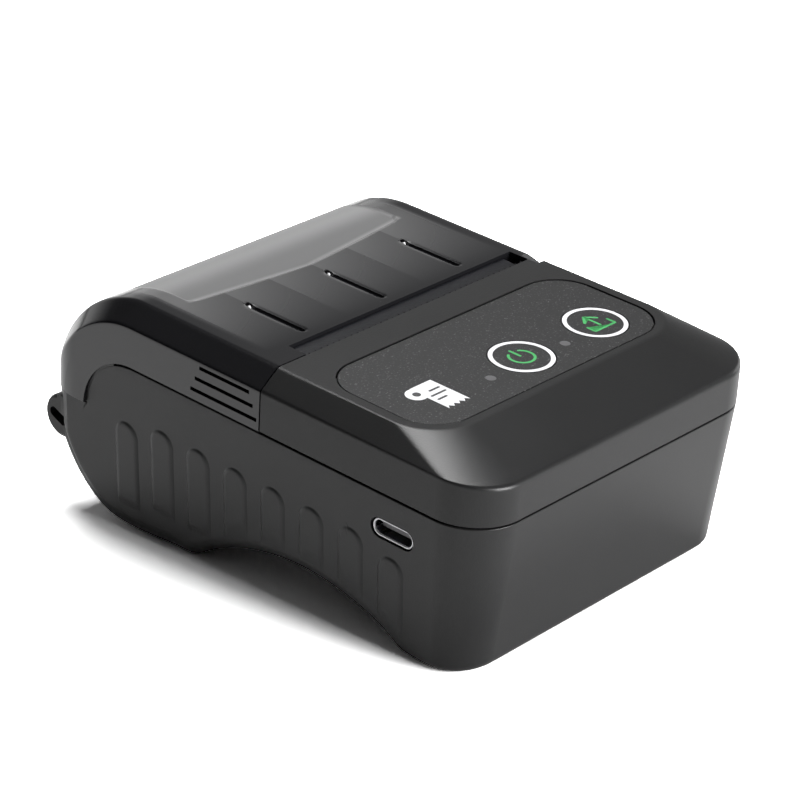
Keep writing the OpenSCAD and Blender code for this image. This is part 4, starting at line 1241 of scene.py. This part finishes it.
    def glint_pip(self, x: float, number: int) -> None:
        """Adds a small polished dome near a groove's rear end, pale as a painted glint: half a sphere on a
        short stem.

        Args:
            x: case X of the groove.
            number: number for the name.
        """
        rise = np.linspace(0.0, QUARTER, 9)[:-1]
        off = self.glint_pip_r * np.concatenate([[1.0], np.cos(rise)])
        height = np.concatenate([[-self.glint_pip_stem], self.glint_pip_r * np.sin(rise)])
        plan = np.array([x, self.glint_pip_y]) + off[:, None, None] * circle(32)
        glint_pip = tube("groove_glint_pip_%d" % number, at_levels(plan, FORM.top_h - self.glint_pip_sunk + height))
        dress(glint_pip, "cover", "cover_smoke", GLINT_PIP, smooth=60.0)

    def exit_lip(self) -> None:
        """Adds the low guide lip along the lid's front edge: a rounded profile carried along X."""
        (y0, y1), (z0, z1), r = self.lip_y, self.lip_z, self.lip_r
        nose = np.array([y1 + r, z1 - r]) + r * polar(np.linspace(QUARTER, 3 * QUARTER, 11))
        share = np.linspace(0, 1, 6)[:-1]
        run = np.stack([lerp(y0, y1 + r, share), lerp(z0, z1, share ** self.lip_power)], -1)
        profile = np.concatenate([run, nose, np.array(self.lip_under)])
        lip = tube("exit_lip", along_x(np.linspace(*self.lip_x, 40), profile))
        dress(lip, "cover", "cover_smoke", LIP, smooth=40.0)

    def skin(self, p: Array) -> Array:
        """Signed distance to the lid's outer skin, for (N, 3) case points."""
        x, y, z = p.T
        r = np.where(y > FORM.roll_y, FORM.from_roll(y, z), z - FORM.roll_z)
        return self.section(np.abs(x), r, y)

    def build(self) -> None:
        """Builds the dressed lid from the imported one."""
        lid = merged_copy("paper_cover", "paper_cover_lid")
        push_out(lid, self.skin, FORM.off_hinge)
        outer = self.envelope()
        for x in self.knuckle_x:
            combine(outer, FORM.knuckle(x - self.knuckle_hw, x + self.knuckle_hw), "UNION")
        combine(lid, outer, "INTERSECT")
        dress(lid, "cover", "cover_smoke", LID, "paper_cover", smooth=32.0)
        for number, x in enumerate((-self.groove_x[1], *self.groove_x)):
            self.groove_bed(x, number)
            self.glint_pip(x, number)
        self.exit_lip()


# Panel and its signs

@dataclass(frozen=True)
class Print:
    """What a sign is printed with, the body and slot that it belongs to and its height over the film."""

    finish: Finish
    body: str = "base"
    slot: str = "panel_film"
    lift: float = 0.0


@dataclass
class ControlPanel:
    """The film on the roof, its keys, lamps and printed signs."""

    top: float = 11.0
    key_x: Pair = (0.6, 20.5)
    key_y: float = -27.6
    ring_mid: float = 5.42
    ring_w: float = 0.8
    ink: float = 0.012
    ink_sunk: float = 0.006
    stroke: float = 0.5
    layer: float = 0.004
    arc_r: float = 2.3
    sign_at: Pair = (-21.1, -27.3)
    roll_at: Pair = (-2.2, 2.3)
    roll_r: float = 2.0
    core_r: float = 0.75
    film_hw: float = 31.2
    film_y: Pair = (-36.35, -9.75)
    film_low: float = 9.0
    film_sunk: float = 0.004
    film_r: float = 7.8
    film_trim: float = 0.13
    film_edge: float = 0.14

    def printed(self, name: str, outline: Array, how: Print) -> None:
        """Prints a flat shape: an outline on the film, carried up by the ink's thickness.

        Args:
            name: name of the piece.
            outline: (N, 2) case points.
            how: its ink, body, slot and height.
        """
        low = self.top - self.ink_sunk + how.lift
        plan = np.broadcast_to(outline, (2, *outline.shape))
        shape = tube(name, at_levels(plan, np.array([low, low + self.ink])))
        dress(shape, how.body, how.slot, how.finish)

    def line(self, name: str, path: Array, how: Print) -> None:
        """Prints an open line of even width with round ends.

        Args:
            name: name of the piece.
            path: (N, 2) case points.
            how: its ink, body, slot and height.
        """
        step = unit(np.gradient(path, axis=0))
        side = step[:, ::-1] * np.array([-1.0, 1.0])
        a = np.linspace(0, math.pi, 9)[1:-1, None]
        h = self.stroke / 2

        def cap(at: Array, out: Array, across: Array) -> Array:
            """Half circle from one side of the line to the other."""
            return at + h * (np.cos(a) * across + np.sin(a) * out)

        outline = [path + side * h, cap(path[-1], step[-1], side[-1]), (path - side * h)[::-1],
                   cap(path[0], -step[0], -side[0])]
        self.printed(name, np.concatenate(outline), how)

    def ring(self, name: str, x: float, body: str) -> None:
        """Prints a white ring round a key.

        Args:
            name: name of the piece.
            x: case X of the key.
            body: the key's body.
        """
        half = self.ring_w / 2
        section = np.array([[half, 0.0], [-half, 0.0], [-half, self.ink], [half, self.ink]])
        plan = np.array([x, self.key_y]) + (self.ring_mid + section[:, :1]) * circle(128)[:, None, :]
        level = np.broadcast_to(self.top + section[:, 1:], (*plan.shape[:2], 1))
        ring = tube(name, np.concatenate([plan, level], -1), ring=True)
        dress(ring, body, "key_cap", WHITE_INK)

    def film(self) -> None:
        """Trims the film a little inside its recess and rounds its upper edge.

        The trimming form is a rounded rectangle carried up; its inset follows a quarter circle at the top.
        """
        plate = merged_copy("control_panel", "panel_film_plate")
        r, edge, around = self.film_r, self.film_edge, circle(96)
        q = np.linspace(0, QUARTER, 5)
        inset = self.film_trim + np.concatenate([[0.0], edge * (1 - np.cos(q))])
        level = np.concatenate([[self.film_low], self.top - self.film_sunk - edge + edge * np.sin(q)])
        cx = np.where(around[:, 0] > 0, self.film_hw - r, r - self.film_hw)
        cy = np.where(around[:, 1] > 0, self.film_y[1] - r, self.film_y[0] + r)
        plan = np.stack([cx, cy], -1) + (r - inset)[:, None, None] * around
        combine(plate, tube("film_form", at_levels(plan, level)), "INTERSECT")
        dress(plate, "base", "panel_film", FILM, "control_panel", smooth=32.0)

    def power_sign(self) -> None:
        """The standby sign: an open circle with a bar in its gap."""
        at, green = np.array([self.key_x[0], self.key_y]), Print(GREEN_INK, "power_button", "key_cap")
        arc = self.arc_r * polar(np.radians(np.linspace(125, 415, 56)))
        bar = np.array([[0.0, 0.35], [0.0, 1.0], [0.0, 2.0], [0.0, 2.75]])
        self.line("power_arc", at + arc, green)
        self.line("power_bar", at + bar, green)

    def feed_sign(self) -> None:
        """The feed sign: an arrow that leaves a tray."""
        at, green = np.array([self.key_x[1], self.key_y]), Print(GREEN_INK, "feed_button", "key_cap")
        tray = np.array([[-2.7, -0.5], [-2.7, -2.3], [2.7, -2.3], [2.7, -0.5]])
        head = np.array([[-1.7, 1.0], [0.0, 2.7], [1.7, 1.0]])
        stem = np.array([[0.0, -1.1], [0.0, 0.4], [0.0, 1.6], [0.0, 2.4]])
        t = np.linspace(0, 1, 12)[:-1, None]
        for name, marks in (("feed_tray", at + tray), ("feed_head", at + head)):
            runs = [lerp(marks[i], marks[i + 1], t) for i in range(len(marks) - 1)]
            self.line(name, np.concatenate([*runs, marks[-1:]]), green)
        self.line("feed_stem", at + stem, green)

    def slip_sign(self) -> None:
        """The white sign beside the keys: a torn slip that leaves a roll."""
        at, dark = np.array(self.sign_at), Print(DARK_INK, lift=2 * self.layer)
        teeth = np.linspace(3.5, -1.7, 9)
        torn = np.stack([teeth, np.where(np.arange(9) % 2 == 0, -4.6, -3.8)], -1)
        slip = np.concatenate([np.array([[-1.7, 4.4], [3.5, 4.4]]), torn])
        self.printed("sign_slip", at + slip, Print(WHITE_INK))
        roll = at + np.array(self.roll_at)
        self.printed("sign_roll", roll + self.roll_r * circle(64), Print(WHITE_INK, lift=self.layer))
        self.printed("sign_core", roll + self.core_r * circle(64), dark)
        for number, (x0, x1, y) in enumerate(((0.4, 2.6, 1.7), (-0.7, 2.6, 0.2), (-0.7, 1.2, -1.3))):
            self.line("sign_line_%d" % number, at + np.array([[x0, y], [0.9, y], [x1, y]]), dark)

    def build(self) -> None:
        """Trims the film and prints every sign."""
        self.film()
        self.ring("power_ring", self.key_x[0], "power_button")
        self.ring("feed_ring", self.key_x[1], "feed_button")
        self.power_sign()
        self.feed_sign()
        self.slip_sign()


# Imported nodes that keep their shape

@dataclass(frozen=True)
class PackedParts:
    """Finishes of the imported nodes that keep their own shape."""

    finishes: tuple[tuple[Finish, str], ...] = (
        (FILM, "power_key feed_key"),
        (PIPE, "light_pipes"),
        (TEAR, "tear_bar"),
        (STEEL, "hinge_pin platen_shaft head_pivot head_springs motor_shaft gear_axles"),
        (RUBBER, "platen_rubber"),
        (WHITE_PLASTIC, "platen_gear platen_bushes reduction_gear idler_gear board_connectors"),
        (WHITE_PLASTIC, "indicator_lamps"),
        (FRAME_GREY, "print_frame"),
        (ALUMINIUM, "heat_sink"),
        (CERAMIC, "thermal_head"),
        (CAN, "feed_motor"),
        (BRASS, "motor_pinion"),
        (CHIP, "paper_sensor controller_chips switch_bodies"),
        (BOARD, "main_board key_board"),
        (TIN, "wireless_module"),
        (BRIGHT, "usb_shell"),
        (TONGUE, "usb_tongue"),
        (RED_PLASTIC, "power_plunger feed_plunger"),
        (SLEEVE, "battery_pack"),
        (FOAM, "battery_pads"),
        (BLACK_SCREW, "case_screws frame_screws board_screws"),
        (FOOT, "rubber_feet"),
    )

    def build(self) -> None:
        """Assigns each finish to its nodes' material slots."""
        for finish, nodes in self.finishes:
            for node in nodes.split():
                obj = frame["nodes"][node]
                if not obj.material_slots:
                    obj.data.materials.append(finish.material())
                for slot in obj.material_slots:
                    slot.material = finish.material()
            log.info("%s: %s", finish.name, nodes)


# Studio

@dataclass(frozen=True)
class SoftBox:
    """A rectangular area lamp aimed at a point."""

    name: str
    place: Triple
    aim: Triple
    size: Pair
    power: float

    def build(self) -> None:
        """Adds the lamp to the scene."""
        data = bpy.data.lights.new(self.name, "AREA")
        data.shape = "RECTANGLE"
        data.size, data.size_y = self.size
        data.energy = self.power
        lamp = add_object(self.name, data)
        lamp.location = self.place
        way = Vector(self.aim) - Vector(self.place)
        lamp.rotation_euler = way.to_track_quat("-Z", "Y").to_euler()


@dataclass(frozen=True)
class Studio:
    """Pale floor, world, lamps and camera."""

    floor_half: float = 6.0
    floor_tone: float = 0.8
    floor_mirrored: float = 0.95
    floor_seen: float = 2.3
    floor_fade: Pair = (0.25, 0.5)
    camera_at: Triple = (-0.3596, -0.3302, 0.2506)
    azimuth: float = -47.614
    elevation: float = 24.869
    lens: float = 135.28
    world_stops: Stops = ((0.5, 0.0), (0.7, 0.0), (0.84, 0.07), (0.95, 0.07))
    far_stops: Stops = ((0.5, 0.75), (0.55, 0.75), (0.7, 0.09), (0.84, 0.0))
    far_way: Pair = (0.74, 0.67)
    far_mask: Pair = (0.2, 0.75)
    lamps: tuple[SoftBox, ...] = (
        SoftBox("front_lamp", (0.14, -1.0, 0.28), (0.0, 0.0, 0.02), (0.5, 0.5), 22.5),
        SoftBox("right_lamp", (1.0, -0.15, 0.30), (0.0, 0.0, 0.02), (0.5, 0.5), 2.4),
        SoftBox("rear_lamp", (0.72, 0.60, 0.50), (0.0, 0.0, 0.03), (0.5, 0.5), 0.15),
        SoftBox("top_lamp", (0.14, 0.19, 0.62), (0.14, 0.19, 0.0), (0.36, 0.2), 4.6),
    )

    def floor(self) -> None:
        """A wide pale plane, paler to the camera, which sees it turn white away from the object."""
        h = self.floor_half
        mesh = bpy.data.meshes.new("floor")
        mesh.from_pydata([(-h, -h, 0), (h, -h, 0), (h, h, 0), (-h, h, 0)], [], [(0, 1, 2, 3)])
        obj = add_object("floor", mesh)
        mat = bpy.data.materials.new("floor_pale")
        mat.use_nodes = True
        mat.node_tree.nodes.clear()
        tree = NodeTree(mat.node_tree)
        rays = tree.add("LightPath").outputs
        tone = tree.mix(rays["Is Glossy Ray"], grey(self.floor_tone), grey(self.floor_mirrored))
        tone = tree.mix(rays["Is Camera Ray"], tone, grey(self.floor_seen))
        plain = tree.add("BsdfDiffuse", {"Color": tone})
        place = tree.add("TexCoord").outputs["Object"]
        reach = tree.add("VectorMath", {0: place}, operation="LENGTH").outputs["Value"]
        far = tree.calc("MULTIPLY", tree.ease(reach, *self.floor_fade), rays["Is Camera Ray"])
        white = tree.add("Emission")
        blend = tree.add("MixShader", {0: far, 1: plain.outputs[0], 2: white.outputs[0]})
        tree.add("OutputMaterial", {"Surface": blend.outputs[0]})
        mesh.materials.append(mat)

    def world(self) -> None:
        """White for the camera; for other rays a studio whose tone depends on height and on direction.

        The tone is one ramp over the height, plus a second ramp times an eased mask towards the far side.
        """
        world = bpy.data.worlds.new("studio")
        bpy.context.scene.world = world
        world.use_nodes = True
        world.node_tree.nodes.clear()
        tree = NodeTree(world.node_tree)
        way = tree.add("TexCoord").outputs["Generated"]
        height = tree.add("SeparateXYZ", {0: way}).outputs["Z"]
        rise = tree.add("MapRange", {"Value": height, "From Min": -1.0}).outputs["Result"]
        near, far = (tree.ramp(rise, stops) for stops in (self.world_stops, self.far_stops))
        along = tree.add("VectorMath", {0: way, 1: (*self.far_way, 0.0)}, operation="DOT_PRODUCT")
        mask = tree.ease(along.outputs["Value"], *self.far_mask)
        both = tree.mix(mask, near, far, "ADD")
        seen = tree.mix(tree.add("LightPath").outputs["Is Camera Ray"], both, grey(1.0))
        back = tree.add("Background", {"Color": seen})
        tree.add("OutputWorld", {"Surface": back.outputs[0]})

    def camera(self) -> None:
        """The photograph's viewpoint: a long lens, above and to the left of the front."""
        az, el = math.radians(self.azimuth), math.radians(self.elevation)
        right = Vector((math.cos(az), math.sin(az), 0.0))
        back = Vector((math.sin(az) * math.cos(el), -math.cos(az) * math.cos(el), math.sin(el)))
        turn = Matrix((right, back.cross(right), back)).transposed()
        data = bpy.data.cameras.new("camera")
        data.lens = self.lens
        data.sensor_width = 36.0
        data.clip_start = 0.02
        data.clip_end = 30.0
        cam = add_object("camera", data)
        cam.matrix_world = Matrix.Translation(Vector(self.camera_at)) @ turn.to_4x4()
        bpy.context.scene.camera = cam

    def build(self) -> None:
        """Sets up the studio."""
        bpy.context.scene.view_settings.view_transform = "Standard"
        self.floor()
        self.world()
        for lamp in self.lamps:
            lamp.build()
        self.camera()
        log.info("studio: %d lamps", len(self.lamps))


def main() -> None:
    """Builds the studio and every sub-assembly in order."""
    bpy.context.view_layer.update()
    Studio().build()
    for part in (LowerCase(), TopCase(), PaperCover(), ControlPanel(), PackedParts()):
        part.build()
        log.info("%s done", type(part).__name__)


if __name__ == "__main__":
    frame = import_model()
    main()
